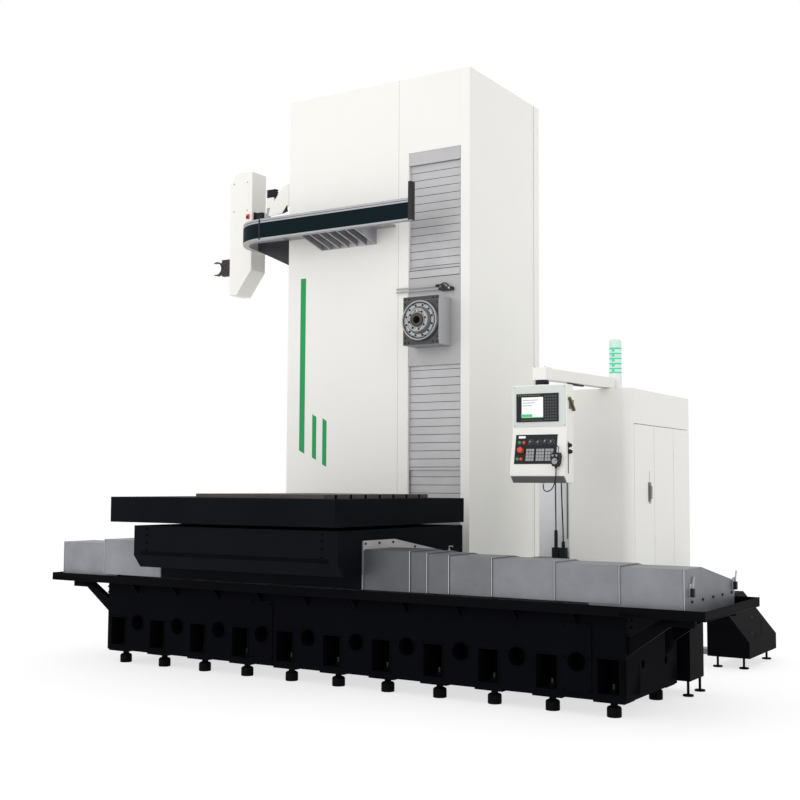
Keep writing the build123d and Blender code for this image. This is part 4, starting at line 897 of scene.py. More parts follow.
@dataclass
class Head:
    """The headstock's ram with its flange, spindles and coolant pipes."""

    x: float = -310.0
    z: float = 3060.0
    ram_x: Span = (-501.0, -115.0)
    ram_z: Span = (2837.0, 3288.0)
    ram_front: float = 1320.0
    ram_hole: float = 126.0
    flange_front: float = 1290.0
    nose_front: float = 1254.7
    plate_front: float = 1536.0
    plate_x: Span = (-565.0, -20.0)
    pipe_y: float = 1500.0
    pipes_z: Span = (3375.0, 3406.0)
    pipe_ends: Span = (-204.0, -236.0)

    def circle(self, shape: Shape, radius: float, count: int, y: float, size: float, turn: float) -> None:
        """Set black bolts in a circle round the spindle.

        Args:
            shape: The mesh that takes them.
            radius: Radius of the circle.
            count: Number of bolts.
            y: Where their heads meet the face.
            size: Radius of a head.
            turn: Part of a step by which the circle is turned.
        """
        for i in range(count):
            angle = 2 * math.pi * (i + turn) / count
            base = (self.x + radius * math.cos(angle), y, self.z + radius * math.sin(angle))
            shape.bolt(base, FRONT, size, 1)

    def ram_bolts(self) -> None:
        """Add the dark face of the ram and the bolts round its edge."""
        shape = Shape(BLACK_BOLT, RAM_GREY)
        (left, right), (low, high), hole = self.ram_x, self.ram_z, self.ram_hole
        y = (self.ram_front - 1.2, self.ram_front + 1)
        opening = ((self.x - hole, self.x + hole), (self.z - hole, self.z + hole))
        shape.rim(y, *opening, self.x - hole - left - 1, 1)
        for z in ((low + 1, self.z - hole - 64), (self.z + hole + 65, high - 1)):
            if z[1] > z[0]:
                shape.block((left + 1, right - 1), y, z, 1)
        across = (left + 22, left + 62, right - 62, right - 22)
        places = [(x, z) for x in across for z in (low + 22, high - 22)]
        places += [(x, z) for z in (low + 68, high - 68) for x in (left + 20, right - 20)]
        for x, z in places:
            shape.bolt((x, self.ram_front, z), FRONT, 8)
        shape.finish("ram_bolts", Body.HEAD, 0.6)

    def flange_rings(self) -> None:
        """Add the raised rings, the dark rings and the bolts on the fixed flange; the widest dark ring is
        painted shade.
        """
        shape = Shape(BRIGHT_STEEL, BLACK_BOLT, DULL_STEEL)
        base = (self.x, self.flange_front, self.z)
        for outline, look in (
            ([(172, 0), (172, 5), (175, 8), (182, 8), (184.5, 5), (184.5, 0)], 0),
            ([(111.5, 0), (111.5, 10), (114, 13), (121, 13), (124, 10), (124, 0)], 2),
            # The wide dark ring from 160 to 171 is painted shade for the dark gap between the flange and the
            # ram's plate.
            (ring(126, 130, -1, 0.6), 1), (ring(152, 155, -1, 0.6), 1), (ring(160, 171, -1, 0.6), 1),
            ([(185, 0), (190, -4), (190, -16), (185, -22)], 2),
        ):
            shape.turned(base, FRONT, outline, 64, look, True)
        self.circle(shape, 142, 12, self.flange_front, 9.5, 0.5)
        shape.finish("flange_rings", Body.HEAD, 0.5)

    def nose(self) -> None:
        """Add the bolts, keys and polished ring on the turning nose."""
        shape = Shape(BRIGHT_STEEL, BLACK_BOLT)
        front = self.nose_front
        base = (self.x, front, self.z)
        polished = [(98, 0), (98, 4), (100, 6), (106, 6), (108, 4), (108, 0)]
        shape.turned(base, FRONT, polished, 64, 0, True)
        for radius in (62, 76):
            shape.turned(base, FRONT, ring(radius, radius + 5, -1, 0.6), 48, 1, True)
        self.circle(shape, 87, 8, front, 9, 0.25)
        for key in ((self.z - 96, self.z - 70), (self.z + 70, self.z + 96)):
            shape.block((self.x - 12, self.x + 12), (front - 9, front), key)
        shape.finish("nose_ring", Body.MILLING, 0.5)

    def pipes(self) -> None:
        """Replace the plain coolant pipes by thin ones with their small black fittings."""
        low, high = node_span("coolant_pipes")
        shape = Shape(BRIGHT_STEEL, BLACK_BOLT)
        y, start, fittings = self.pipe_y, self.pipe_ends[1], low[2]
        for z, end in zip(self.pipes_z, self.pipe_ends):
            shape.pipe([(low[0], y, z), (end, y, z)], 8, 16)
            shape.turned((end, y, z), RIGHT, [(0, -18), (14, -18), (14, 10), (9, 16), (0, 16)], 6, 1)
        shape.block((-200, high[0] - 4), (y - 12, self.plate_front), (fittings + 2, fittings + 34), 1)
        shape.block((-190, -166), (y - 16, y + 12), (fittings + 30, fittings + 58), 1)
        elbow = ((0, 0), (30, 6), (60, 20), (90, 18), (112, -2), (124, -26))
        points = [(start + along, y, self.pipes_z[1] + rise) for along, rise in elbow]
        shape.pipe([*points, (-108, y + 12, 3362)], 6, 10, 1)
        shape.turned((high[0] - 30, y - 12, 3374), FRONT, disc(11, 8), 6)
        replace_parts(shape.finish("coolant_pipe_set", Body.HEAD, 0.8), "coolant_pipes")

    def plate_trim(self) -> None:
        """Add the folded strip over the ram and the screws at the foot of the head plate."""
        shape = Shape(SLAT_GREY, SEAM_DARK)
        face = self.plate_front
        for z in (3500, 3572):
            shape.block(self.plate_x, (face - 2, face + 1), (z, z + 5), 1)
        shape.block(self.plate_x, (face - 3, face + 1), (3507, 3569))
        for x in range(-540, 0, 120):
            shape.turned((x, face, 2700), FRONT, screw(7, 5.5, 3, 4), 12)
        shape.finish("plate_trim", Body.HEAD, 0.5)

    def build(self) -> None:
        """Dress the head and add its detail."""
        dress(PLATE_GREY, 1.5, "head_plate")
        dress(PLATE_GREY, 3.0, "headstock")
        dress(BRIGHT_STEEL, 2.0, "spindle_flange", "milling_spindle")
        dress(OILED_BORE, 1.5, "boring_spindle")
        self.ram_bolts()
        self.flange_rings()
        self.nose()
        self.pipes()
        self.plate_trim()


@dataclass
class ToolChanger:
    """The curved rail, its brackets and the tool carrier's housing."""

    front: float = 1100.0
    left: float = -2480.0
    right: float = -285.0
    back: float = 2900.0
    bend: float = 430.0
    low: float = 3960.0
    high: float = 4170.0
    post: float = 150.0
    band: Span = (3988.0, 4115.0)
    column_left: float = -2010.0
    bolt_pitch: Span = (200.0, 220.0)
    cover_x: Span = (-2860.0, -2650.0)
    cover_y: Span = (1657.5, 1661.0)
    cover_z: Span = (4430.0, 4760.0)
    plate: tuple[Span, ...] = (
        (-2457, 4364), (-2419, 4454), (-2266, 4655), (-2179, 4683), (-2176, 4456), (-2262, 4380),
    )

    def line(self, inset: float) -> list[Span]:
        """Trace the rail's outer face from above.

        Args:
            inset: How far the line lies inside the face.

        Returns:
            (x, y) points from the rail's right end to its back end.
        """
        radius = self.bend - inset
        x, y = self.left + self.bend, self.front + self.bend
        angles = [math.radians(270 - 90 * i / 16) for i in range(17)]
        curve = [(x + radius * math.cos(a), y + radius * math.sin(a)) for a in angles]
        return [(self.right - 4, self.front + inset), *curve, (self.left + inset, self.back - 4)]

    def rail_band(self) -> None:
        """Add the dark sheet that lines the rail's outer groove, its joint and the post's cover."""
        shape = Shape(RAIL_TEAL, BLACK_BOLT)
        for outside, inside, low, high, look in (
            (-1.2, 3, self.low + 17, self.high - 42, 0), (-1, 3, self.high - 26, self.high - 21, 1),
            (3, 13, self.band[0] + 1, self.band[1] - 1, 0),
        ):
            shape.prism(Axis.Z, self.line(outside) + self.line(inside)[::-1], low, high, look)
        x, z = self.left + self.bend, (self.low + 2, self.high + self.post)
        shape.blocks(
            ((x - 8, x + 8), (self.front - 4, self.front + 2), (self.low + 4, self.high - 4), 1),
            ((self.right - 34, self.right + 1.5), (self.front - 2.5, self.front + 1), z, 1),
            ((self.right - 1, self.right + 1.5), (self.front, self.front + 61), z, 1),
        )
        shape.finish("rail_band", Body.BASE, 0.6)

    def darken_side(self) -> None:
        """Give the bracket's ribs beside the column a darker cast finish."""
        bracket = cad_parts["changer_bracket"]
        bracket.data.materials.append(BRACKET_DARK.material())
        edge = at(self.column_left, 0, 0).x
        for polygon in bracket.data.polygons:
            if (bracket.matrix_world @ polygon.center).x < edge:
                polygon.material_index = 1

    def rail_bolts(self) -> None:
        """Add the bolts along the rail's top."""
        shape = Shape(BLACK_BOLT)
        across, along = self.bolt_pitch
        places = [(self.right - 120 - i * across, self.front + 30) for i in range(9)]
        places += [(self.left + 30, self.front + self.bend + 60 + i * along) for i in range(6)]
        for place in places:
            shape.bolt((*place, self.high), UP, 9)
        shape.finish("rail_bolts", Body.BASE, 0.6)

    def switches(self) -> None:
        """Add the red end switch and the black stop on the housing's front."""
        shape = Shape(STOP_RED, BLACK_PANEL)
        shape.blocks(
            ((-2664, -2634), (1640, 1660), (4345, 4395), 0), ((-2660, -2638), (1630, 1640), (4352, 4372), 1),
            ((-2605, -2592), (1690, 1760), (4330, 4420), 1), ((-2592, -2500), (1705, 1745), (4352, 4412), 1),
        )
        shape.finish("changer_switches", Body.BASE, 0.8)

    def chain_plate(self) -> None:
        """Add the cable chain's block and the white plate that stand on the rail's side run."""
        shape = Shape(WARM_WHITE, BLACK_PANEL, BRACKET_GREY)
        shape.prism(Axis.Y, self.plate, 1738, 1750)
        shape.prism(Axis.Y, [(-2261, 4372), (-2195, 4458), (-2184, 4387)], 1732, 1738, 1)
        shape.blocks(
            ((-2478, -2440), (1734, 1772), (4170, 4400), 2), ((-2478, -2300), (1750, 1772), (4380, 4460), 2),
            *(((-2478, -2362), (1750, 1800), (z, z + 16), 1) for z in range(4572, 4660, 22)),
            ((-2470, -2370), (1756, 1794), (4560, 4656), 1), ((-2478, -2385), (1752, 1798), (4450, 4568), 0),
        )
        shape.finish("chain_plate", Body.BASE, 1.0)

    def housing_trim(self) -> None:
        """Add the screws and the access cover on the tool carrier's housing."""
        low, high = node_span("changer_housing")
        shape = Shape(WARM_WHITE, SEAM_DARK)
        shape.block(self.cover_x, self.cover_y, self.cover_z)
        for x in (self.cover_x[0] + 15, self.cover_x[1] - 15):
            for z in (self.cover_z[0] + 15, self.cover_z[1] - 15):
                shape.turned((x, self.cover_y[0], z), FRONT, screw(7, 5, 3, 4), 12, 1)
        shape.block((low[0] + 40, high[0] - 180), (high[1] - 1, high[1] + 2), (3900, 4700))
        shape.finish("housing_cover", Body.BASE, 1.0)

    def build(self) -> None:
        """Dress the changer and add its detail."""
        dress(COVER_EDGE, 1.5, "changer_rail")
        dress(BRACKET_GREY, 1.5, "changer_bracket")
        dress(WARM_WHITE, 3.0, "changer_housing")
        dress(GRIPPER_BROWN, 1.5, "changer_gripper")
        self.darken_side()
        self.rail_band()
        self.rail_bolts()
        self.switches()
        self.chain_plate()
        self.housing_trim()


@dataclass
class SwitchCabinet:
    """The tall cabinet with three doors and the signal light."""

    left: float = 1043.0
    right: float = 1610.0
    back: float = 3130.0
    door_lines: Point = (1684.0, 2171.0, 2682.0)
    hinges_z: Point = (320.0, 1072.0, 1825.0)
    handle_y: float = 2048.0
    tower: Span = (1398.0, 1806.0)
    tower_radius: float = 53.0
    tower_bands: tuple[float, ...] = (2532.0, 2566.0, 2610.0, 2654.0, 2698.0, 2742.0)
    louvre_pitch: float = 42.0

    def handle(self) -> None:
        """Add the first door's swing handle and lock near its free edge."""
        x, y = self.right, self.handle_y
        shape = Shape(HANDLE_GREY, BRIGHT_STEEL)
        shape.block((x, x + 5), (y - 34, y + 34), (1410, 1580))
        shape.prism(Axis.Y, [(x + 5, 1430), (x + 18, 1436), (x + 20, 1540), (x + 5, 1566)], y - 22, y + 22)
        shape.turned((x + 5, y, 1405), RIGHT, [(0, -5), (13, -5), (13, 4), (11, 6), (0, 6)], 20, 1)
        shape.block((x, x + 1.5), (y - 2, y + 2), (1590, 1680))
        shape.finish("door_handle_1", "door_1", 1.0)

    def hinges(self) -> None:
        """Add the small hinge leaves beside each door's knuckles."""
        for index, y in enumerate(self.door_lines, 1):
            shape = Shape(WARM_WHITE)
            for z in self.hinges_z:
                shape.block((self.right, self.right + 1.6), (y + 14, y + 40), (z - 40, z + 40))
            shape.finish(f"door_hinge_leaves_{index}", f"door_{index}", 0.4)

    def vents(self) -> None:
        """Add the louvres in the cabinet's back."""
        shape = Shape(WARM_WHITE, SEAM_DARK)
        y = self.back
        for x in (self.left + 90, self.left + 330):
            for i in range(9):
                z = 1500 + i * self.louvre_pitch
                shape.block((x, x + 150), (y - 1, y + 1), (z, z + 9), 1)
                hood = [(y, z + 9), (y + 8, z + 4), (y + 8, z + 8), (y, z + 18)]
                shape.prism(Axis.X, hood, x - 4, x + 154)
        shape.finish("cabinet_louvres", Body.BASE, 0.4)

    def plinth(self) -> None:
        """Add the dark plinth line round the cabinet's foot."""
        shape = Shape(HANDLE_GREY)
        shape.block((self.left - 2, self.right + 2), (1690, self.back + 2), (0, 48))
        shape.finish("cabinet_plinth", Body.BASE, 1.0)

    def tower_rings(self) -> None:
        """Add the signal light's foot, its coloured bands and its front marks."""
        shape = Shape(PALE_BLUE_GREY, LENS_TEAL)
        (x, y), radius = self.tower, self.tower_radius
        foot = [(radius - 2, 2385), (radius + 6, 2385), (radius + 6, 2396), (radius + 1, 2402),
                (radius + 1, 2524), (radius - 2, 2524)]
        shape.turned((x, y, 0), UP, foot, 40, 0, True)
        for z in self.tower_bands:
            band = [(radius - 2, z), (radius + 1, z), (radius + 1, z + 11), (radius - 2, z + 11)]
            shape.turned((x, y, 0), UP, band, 40, 1, True)
        for z in range(2543, 2720, 44):
            shape.block((x - 12, x + 12), (y - radius - 1.2, y - radius + 2), (z, z + 26), 1)
        shape.finish("tower_rings", Body.BASE, 0.5)

    def build(self) -> None:
        """Dress the cabinet and add its detail."""
        dress(WARM_WHITE, 3.0, "cabinet_body")
        dress(WARM_WHITE, 2.0, "cabinet_door_1", "cabinet_door_2", "cabinet_door_3")
        dress(LENS_PALE, 1.0, "light_tower")
        self.handle()
        self.hinges()
        self.vents()
        self.plinth()
        self.tower_rings()


@dataclass
class HangingCord:
    """A free cord that leaves the machine and goes back into it."""

    name: str
    body: Body
    points: tuple[Point, ...]
    radius: float
    length: float
    stiffness: str

    def build(self) -> None:
        """Lay the cord along its route and hide the plain one."""
        data = bpy.data.curves.new(self.name + "_looks", "CURVE")
        data.dimensions = "3D"
        data.bevel_depth = self.radius * MM
        data.bevel_resolution = 4
        data.use_fill_caps = True
        spline = data.splines.new("NURBS")
        spline.points.add(len(self.points) - 1)
        for point, place in zip(spline.points, self.points):
            point.co = (*at(*place), 1.0)
        spline.order_u = 3
        spline.use_endpoint_u = True
        spline.resolution_u = 12
        data.materials.append(BLACK_RUBBER.material())
        cord = link(self.name + "_looks", data)
        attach(cord, self.body.value)
        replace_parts(cord, self.name)
        log.info("laid %s", self.name)


@dataclass
class ServiceCabinet:
    """The small cabinet behind the table, with two hanging cables."""

    left: float = 560.0
    right: float = 980.0
    front: float = 2000.0
    top: float = 1750.0
    shelf_front: float = 1842.0
    shelf_top: float = 895.0
    door_foot: float = 930.0
    connector_x: Span = (786.0, 858.0)
    connector_y: float = 1882.09
    boot_tops: Span = (1145.0, 1045.0)
    boot_foot: float = 1000.0
    rib_pitch: float = 11.0
    gland_x: Span = (782.0, 838.0)
    gland_z: float = 1640.0
    cable_radius: float = 6.0
    lengths: Span = (545.0, 645.0)

    def front_door(self) -> None:
        """Add the raised door, its lock, a dark strip of painted shade and the shelf's plate."""
        shape = Shape(PALE_BLUE_GREY, HANDLE_GREY, BRIGHT_STEEL)
        left, right, face = self.left, self.right, self.front - 4
        shape.block((left + 22, right - 22), (face, self.front + 1), (self.door_foot, self.top - 30))
        lock = [(0, 0), (14, 0), (14, 4), (10, 7), (0, 7)]
        shape.turned((right - 50, face, 1300), FRONT, lock, 20, 2)
        # Painted shade: this dark strip stands for the shade along the switch cabinet's left edge, not a part
        # of the door.
        shape.block((844, 856), (face - 8, face), (1065, 1600), 1)
        shelf = (self.shelf_top, self.shelf_top + 3)
        shape.block((left + 4, right - 4), (self.shelf_front, face + 2), shelf, 1)
        shape.finish("service_door", Body.BASE, 1.2)

    def boot_ribs(self) -> None:
        """Add the ribs of both cable boots and the nuts of the plugs below them."""
        shape = Shape(BLACK_RUBBER, BLACK_PANEL)
        for x, top in zip(self.connector_x, self.boot_tops):
            base = (x, self.connector_y, 0)
            height = top - 30
            while height > self.boot_foot:
                rib = [(13, height), (17.5, height), (17.5, height + 5), (13, height + 5)]
                shape.turned(base, UP, rib, 20, 0, True)
                height -= self.rib_pitch
            shape.turned(base, UP, [(20, 968), (31.5, 968), (31.5, 986), (20, 986)], 8, 1, True)
        shape.finish("boot_ribs", Body.BASE, 0.5)

    def cables(self) -> None:
        """Lay the two cables from their glands down to their plugs."""
        for i, length in enumerate(self.lengths):
            gland, plug, top = self.gland_x[i], self.connector_x[i], self.boot_tops[i]
            points = (
                (gland, 1972.0, self.gland_z), (gland, 1934.0, self.gland_z),
                (gland, 1901.09, self.gland_z - 19.0), (gland, 1882.09, self.gland_z - 51.91),
                (plug, self.connector_y, top + 38.0), (plug, self.connector_y, top),
            )
            name = f"hanging_cable_{i + 1}"
            HangingCord(name, Body.BASE, points, self.cable_radius, length, "medium").build()

    def build(self) -> None:
        """Dress the cabinet, its plugs and its cables."""
        dress(PALE_BLUE_GREY, 3.0, "service_cabinet")
        dress(BLACK_PANEL, 1.2, "cable_connectors")
        self.front_door()
        self.boot_ribs()
        self.cables()


@dataclass
class Pendant:
    """The operator's pendant on its swinging arm."""

    front: float = 570.0
    lower_front: float = 522.0
    slope_top: float = 1960.0
    slope_low: float = 1705.0
    display_x: Span = (1018.0, 1475.0)
    display_z: Span = (2012.0, 2337.0)
    right: float = 1483.0
    arm_end: Span = (1243.0, 630.0)
    lamps: tuple[tuple[float, float, int], ...] = (
        (1120, 1883, 2), (1082, 1884, 3), (1073, 1752, 3), (1105, 1752, 2),
    )
    knobs: tuple[Span, ...] = ((1182, 1882), (1249, 1881), (1309, 1888), (1362, 1884))
    key_blocks: Point = (1144.0, 1232.0, 1311.0)
    lead_start: Point = (1420.0, 499.63, 1678.0)
    lead_end: Point = (1250.0, 630.0, 1552.0)
    lead_drops: tuple[Span, ...] = (
        (0, 50), (0.065, 100), (0.21, 143), (0.42, 170), (0.654, 181), (0.902, 176), (1, 155),
    )
    lead_radius: float = 4.5
    lead_length: float = 362.0
    wire: float = 3.2

    def slope(self, x: float, z: float) -> Vector:
        """Find a place on the raked console from its place along the bed and its height."""
        share = (self.slope_top - z) / (self.slope_top - self.slope_low)
        return Vector((x, self.front + (self.lower_front - self.front) * share, z))

    def display(self) -> None:
        """Add the raised panel, the bezel, the screen and its keys."""
        shape = Shape(
            PANEL_GREY_GREEN, BLACK_PANEL, SCREEN_WHITE, SCREEN_GREEN, KEY_DARK, HANDLE_GREY, OLIVE_BRASS,
        )
        face, bezel = self.front - 5, self.front - 12
        shown, keys = (bezel - 1.6, bezel - 0.9), (bezel - 3, bezel)
        shape.blocks(
            (self.display_x, (face, self.front + 1), self.display_z, 0),
            ((1048, 1416), (bezel, face), (2050, 2276), 1),
            ((1096, 1284), (bezel - 1, bezel), (2082, 2247), 2),
            ((1096, 1284), shown, (2082, 2088), 3), ((1092, 1190), shown, (2090, 2112), 3),
            *(((x, x + 11), (bezel - 1, bezel + 0.2), (2258, 2267), 6) for x in range(1062, 1260, 18)),
            *(((1104, end), (bezel - 1.5, bezel - 0.9), (z, z + 4), 5)
              for z, end in ((2222, 1240), (2200, 1214), (2178, 1188))),
            *(((x, x + 18), keys, (2058, 2070), 4) for x in range(1092, 1284, 24)),
            *(((x, x + 16), keys, (z, z + 16), 4)
              for x in range(1298, 1408, 22) for z in range(2060, 2267, 23)),
        )
        for x in (self.display_x[0] + 10, self.display_x[1] - 10):
            for z in (self.display_z[0] + 10, self.display_z[1] - 10):
                shape.turned((x, face, z), FRONT, screw(4, 3, 2, 2.5), 10, 5)
        shape.finish("pendant_display", Body.PENDANT, 1.0)

    def console(self) -> None:
        """Add the raked key panel with its buttons and knobs."""
        shape = Shape(BLACK_PANEL, KEY_GREY, STOP_RED, START_GREEN, SCREEN_WHITE, KEY_DARK)
        right = Vector((1.0, 0.0, 0.0))
        up = Vector((0.0, self.front - self.lower_front, self.slope_top - self.slope_low)).normalized()
        out = right.cross(up)
        shape.tile(self.slope(1225, 1831) - out, right, up, (362, 238, 5), 0)
        for x in (left + 12 + 24 * column for left in self.key_blocks for column in range(3)):
            for row in range(4):
                shape.tile(self.slope(x, 1748 + row * 25) + out * 4, right, up, (20, 21, 4), 1)
        # The label takes the screen's white, so its faint glow is painted light.
        shape.tile(self.slope(1100, 1928) + out * 4, right, up, (60, 18, 1.5), 4)
        stop = [(0, 4), (27, 4), (27, 8), (14, 12), (14, 24), (27, 28), (30, 33), (27, 40), (14, 44), (0, 45)]
        shape.turned(self.slope(1102, 1820), out, [(r * 0.82, h) for r, h in stop], 28, 2)
        lamp = [(0, 4), (14, 4), (14, 9), (10.5, 10), (10.5, 16), (8, 18), (0, 18)]
        for x, z, look in self.lamps:
            shape.turned(self.slope(x, z), out, lamp, 20, look)
        knob = [(0, 4), (20, 4), (20, 7), (14, 9), (13, 24), (11, 26), (0, 26)]
        for place in (self.slope(x, z) for x, z in self.knobs):
            shape.turned(place, out, knob, 20, 5)
            # The knob's mark takes the screen's white, so its faint glow is painted light.
            shape.tile(place + out * 26 + up * 5, right, up, (2.5, 12, 1), 4)
            for angle in (math.radians(a) for a in range(-120, 121, 30)):
                spot = place + right * (27 * math.sin(angle)) + up * (27 * math.cos(angle))
                shape.tile(spot + out * 4, right, up, (3, 3, 0.6), 1)
        shape.finish("pendant_console", Body.PENDANT, 0.7)

    def sides(self) -> None:
        """Add the grip, the plugs, the collar and the dark underside of the case."""
        shape = Shape(OLIVE_BRASS, BLACK_PANEL, HANDLE_GREY)
        x = self.right
        shape.pipe([(x + 10, 598, 2236), (x + 12, 684, 2142)], 14, 20)
        shape.block((x, x + 8), (610, 690), (2150, 2222), 2)
        plug = [(0, 0), (19, 0), (19, 10), (14, 12), (14, 24), (9, 27), (0, 27)]
        for y, z in ((600, 1862), (610, 1812)):
            shape.turned((x, y, z), RIGHT, plug, 16, 1)
        shape.block((x - 1, x + 3), (586, 596), (1640, 1890), 1)
        collar = [(45, 2350), (53, 2350), (55, 2356), (55, 2382), (45, 2386)]
        shape.turned((*self.arm_end, 0), UP, collar, 32, 1, True)
        under = [(523, 1618), (570, 1568), (684, 1568), (684, 1565.5), (569, 1565.5), (521.5, 1617)]
        shape.prism(Axis.X, under, 1016, 1478, 2)
        shape.finish("pendant_fittings", Body.PENDANT, 0.8)

    def handwheel(self) -> None:
        """Add the hand unit: a rounded body with a dial, hung by a wire hook."""
        low, high = node_span("handwheel_unit")
        middle, deep = (low[0] + high[0]) / 2, (low[1] + high[1]) / 2
        foot, y = self.lead_start[2] + 16, low[1] + 2
        shape = Shape(BLACK_PANEL, KEY_GREY, BLACK_RUBBER)
        half = [(20, 0), (33, 24), (36, 84), (26, 108)]
        outline = [(-20, 0), *half, *((-x, z) for x, z in half[:0:-1])]
        shape.prism(Axis.Y, [(middle + x, foot + z) for x, z in outline], y, high[1])
        gland = [(0, -16), (8, -16), (10, -12), (10, 4), (0, 4)]
        shape.turned((*self.lead_start[:2], foot), UP, gland, 16, 2)
        dial = [(0, 0), (24, 0), (24, 5), (22, 7), (9, 7), (9, 5), (0, 5)]
        shape.turned((middle, y, foot + 40), FRONT, dial, 32, 1)
        grip = [(0, 0), (4, 0), (4, 8), (3, 10), (0, 10)]
        shape.turned((middle + 13, y - 7, foot + 48), FRONT, grip, 14, 2)
        for x in (middle - 16, middle + 16):
            shape.turned((x, y, foot + 84), FRONT, screw(9, 8, 7, 8), 16, 1)
        angles = [math.pi * i / 12 for i in range(13)]
        arc = [(middle - 17 * math.cos(a), deep, foot + 138 + 26 * math.sin(a)) for a in angles]
        ends = [(middle + way * 17, deep, foot + 104) for way in (-1, 1)]
        shape.pipe([ends[0], *arc, ends[1]], self.wire, 10, 2)
        hook = [(middle, deep + run, foot + rise) for run, rise in ((0, 162), (22, 158), (40, 150))]
        shape.pipe(hook, self.wire, 10, 2)
        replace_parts(shape.finish("handwheel_dial", Body.PENDANT, 2.0), "handwheel_unit")

    def lead(self) -> None:
        """Lay the hand unit's lead back up into the case."""
        start, end = self.lead_start, self.lead_end
        points = [start]
        for share, drop in self.lead_drops:
            x, y = (start[i] + share * (end[i] - start[i]) for i in (0, 1))
            points.append((x, y, start[2] - drop))
        points.append(end)
        HangingCord(
            "handwheel_lead", Body.PENDANT, tuple(points), self.lead_radius, self.lead_length, "limp",
        ).build()

    def arm_fittings(self) -> None:
        """Add the cap screws, and a black wedge under the arm that is painted shade beneath it."""
        top = node_span("pendant_arm")[1][2]
        shape = Shape(BLACK_BOLT, WARM_WHITE)
        x, y = self.arm_end
        for dx, dy in ((-44, -44), (-44, 44), (44, -44), (44, 44)):
            shape.bolt((x + dx, y + dy, top), UP, 5)
        # Painted shade: a black wedge under the arm stands for the shadow beneath it.
        shape.prism(Axis.X, [(976, 2392), (1286, 2392), (1286, 2380), (1020, 2372)], 1300, 1322)
        shape.finish("arm_fittings", Body.ARM, 0.6)

    def build(self) -> None:
        """Dress the pendant and its arm and add their detail."""
        dress(WARM_WHITE, 2.0, "pendant_arm", "pendant_case")
        self.display()
        self.console()
        self.sides()
        self.handwheel()
        self.lead()
        self.arm_fittings()


@dataclass
class ChipGear:
    """The chip conveyor, the coolant tank and the floor ducts behind the bed."""

    conveyor_left: float = 250.0
    conveyor_y: Span = (630.0, 950.0)
    conveyor_low: float = 110.0
    bolt_height: float = 560.0
    rib_count: int = 8
    rib_pitch: float = 270.0
    glass_y: Span = (2500.0, 2530.0)
    glass_z: Span = (260.0, 400.0)

    def conveyor_bolts(self) -> None:
        """Add the bolts and stiffening ribs along the conveyor's sides."""
        shape = Shape(BLACK_SHEET, BLACK_BOLT)
        for y, facing in zip(self.conveyor_y, (FRONT, BACK)):
            for i in range(self.rib_count):
                x = self.conveyor_left + 120 + i * self.rib_pitch
                if facing is BACK:
                    shape.block((x - 12, x + 12), (y, y + 10), (self.conveyor_low + 20, self.bolt_height))
                shape.bolt((x + 60, y, self.bolt_height), facing, 9, 1)
        shape.finish("conveyor_ribs", Body.BASE, 1.0)

    def tank_fittings(self) -> None:
        """Add the bolts and the level glass on the tank's side."""
        shape = Shape(BLACK_SHEET, BLACK_BOLT)
        low, high = node_span("coolant_tank")
        for z in (300, 440):
            shape.bolt((high[0], low[1] + 60, z), RIGHT, 8, 1)
        shape.block((high[0], high[0] + 5), self.glass_y, self.glass_z)
        shape.finish("tank_fittings", Body.BASE, 1.0)

    def build(self) -> None:
        """Dress the conveyor, the tank and the ducts."""
        dress(BLACK_SHEET, 1.5, "chip_conveyor")
        dress(BLACK_SHEET, 2.5, "coolant_tank")
        dress(DUCT_GREY, 2.0, "floor_ducts")
        self.conveyor_bolts()
        self.tank_fittings()


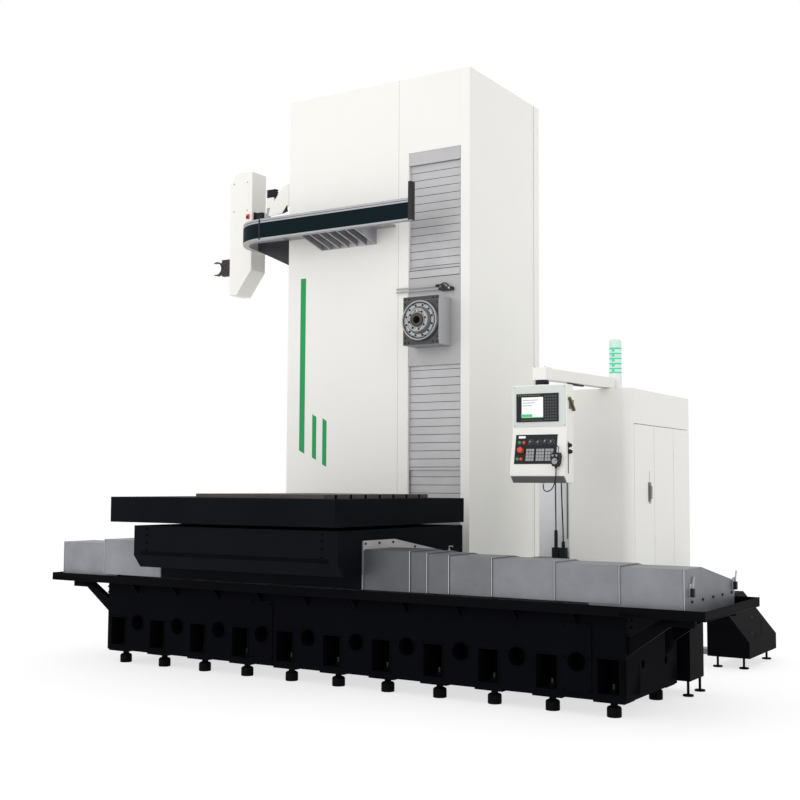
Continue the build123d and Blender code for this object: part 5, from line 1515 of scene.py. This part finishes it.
@dataclass
class Studio:
    """The plain floor, the soft light and the camera."""

    camera_place: Point = (5.45717, -9.2274, 1.5330)
    yaw: float = 32.0049
    pitch: float = 4.1337
    roll: float = 0.3078
    focal_pixels: float = 1193.4146
    frame_pixels: float = 800.0
    reach: float = 200.0
    world_strength: float = 0.9
    floor_half: float = 40.0
    floor_colour: float = 0.96
    floor_glow: float = 1.12
    floor_shade: float = 0.62
    lamp_aim: Point = (0.0, 0.0, 2.4)

    def camera(self) -> None:
        """Stand the camera where the photograph was taken."""
        yaw, pitch, roll = (math.radians(a) for a in (self.yaw, self.pitch, self.roll))
        ahead = Vector((-math.sin(yaw) * math.cos(pitch), math.cos(yaw) * math.cos(pitch), math.sin(pitch)))
        right = Vector((math.cos(yaw), math.sin(yaw), 0.0))
        up = right.cross(ahead)
        side = math.cos(roll) * right + math.sin(roll) * up
        top = -math.sin(roll) * right + math.cos(roll) * up
        data = bpy.data.cameras.new("camera")
        data.sensor_width = SENSOR
        data.sensor_fit = "HORIZONTAL"
        data.lens = self.focal_pixels / self.frame_pixels * SENSOR
        data.clip_end = self.reach
        camera = link("camera", data)
        turn = Matrix((side, top, -ahead)).transposed().to_4x4()
        camera.matrix_world = Matrix.Translation(self.camera_place) @ turn
        bpy.context.scene.camera = camera

    def _seen(self, tree: bpy.types.NodeTree) -> bpy.types.NodeSocket:
        """Tell rays that show the backdrop from rays that light the object.

        Args:
            tree: The nodes that take the answer.

        Returns:
            One for camera, mirror and glass rays, and nought for the rest.
        """
        path = add_node(tree, "LightPath")
        answer = path.outputs["Is Camera Ray"]
        for ray in ("Is Glossy Ray", "Is Transmission Ray"):
            either = add_node(tree, "Math", work="MAXIMUM")
            tree.links.new(answer, either.inputs[0])
            tree.links.new(path.outputs[ray], either.inputs[1])
            answer = either.outputs[0]
        return answer

    def world(self) -> None:
        """Surround the object with even white light."""
        world = bpy.data.worlds.new("studio")
        bpy.context.scene.world = world
        world.use_nodes = True
        tree = world.node_tree
        background = tree.nodes["Background"]
        background.inputs["Color"].default_value = WHITE
        strength = add_node(tree, "MapRange", {"To Min": self.world_strength, "To Max": 1.0})
        tree.links.new(self._seen(tree), strength.inputs["Value"])
        tree.links.new(strength.outputs["Result"], background.inputs["Strength"])

    def floor(self) -> None:
        """Lay a plain pale floor that keeps the object's shadow."""
        mesh = bmesh.new()
        half = self.floor_half
        corners = ((-half, -half, 0.0), (half, -half, 0.0), (half, half, 0.0), (-half, half, 0.0))
        mesh.faces.new([mesh.verts.new(corner) for corner in corners])
        data = bpy.data.meshes.new("floor")
        mesh.to_mesh(data)
        mesh.free()
        made = bpy.data.materials.new("floor_white")
        made.use_nodes = True
        tree = made.node_tree
        tree.nodes.remove(tree.nodes["Principled BSDF"])
        diffuse = add_node(tree, "BsdfDiffuse", {"Color": (*[self.floor_colour] * 3, 1.0)})
        glow = add_node(tree, "Emission", {"Color": WHITE, "Strength": self.floor_glow})
        share = add_node(tree, "Math", {1: self.floor_shade}, "MULTIPLY")
        mix = add_node(tree, "MixShader")
        for source, target in (
            (self._seen(tree), share.inputs[0]), (share.outputs[0], mix.inputs["Fac"]),
            (diffuse.outputs[0], mix.inputs[1]), (glow.outputs[0], mix.inputs[2]),
            (mix.outputs[0], tree.nodes["Material Output"].inputs["Surface"]),
        ):
            tree.links.new(source, target)
        data.materials.append(made)
        link("floor", data)

    def lamp(self, name: str, place: Point, size: float, power: float) -> None:
        """Hang a large soft lamp that faces the machine.

        Args:
            name: Name of the lamp.
            place: Where it hangs, in metres.
            size: Side of its square, in metres.
            power: Its power in watts.
        """
        data = bpy.data.lights.new(name, "AREA")
        data.size = size
        data.energy = power
        lamp = link(name, data)
        lamp.location = place
        lamp.rotation_euler = (Vector(self.lamp_aim) - Vector(place)).to_track_quat("-Z", "Y").to_euler()

    def build(self) -> None:
        """Set up the stage."""
        bpy.context.scene.view_settings.view_transform = "Standard"
        self.camera()
        self.world()
        self.floor()
        self.lamp("key_lamp", (-2.0, -14.0, 4.5), 11.0, 520.0)
        self.lamp("side_lamp", (13.0, -2.0, 3.0), 6.0, 5.0)
        self.lamp("back_lamp", (3.0, 13.0, 8.0), 6.0, 120.0)


def main() -> None:
    """Build the stage and every part of the machine in order."""
    logging.basicConfig(level=logging.INFO, format="%(message)s")
    parts = (
        Studio(), Bed(), WayCovers(), Table(), Column(), Head(), ToolChanger(),
        SwitchCabinet(), ServiceCabinet(), Pendant(), ChipGear(),
    )
    for part in parts:
        part.build()
        log.info("finished %s", type(part).__name__)


if __name__ == "__main__":
    main()
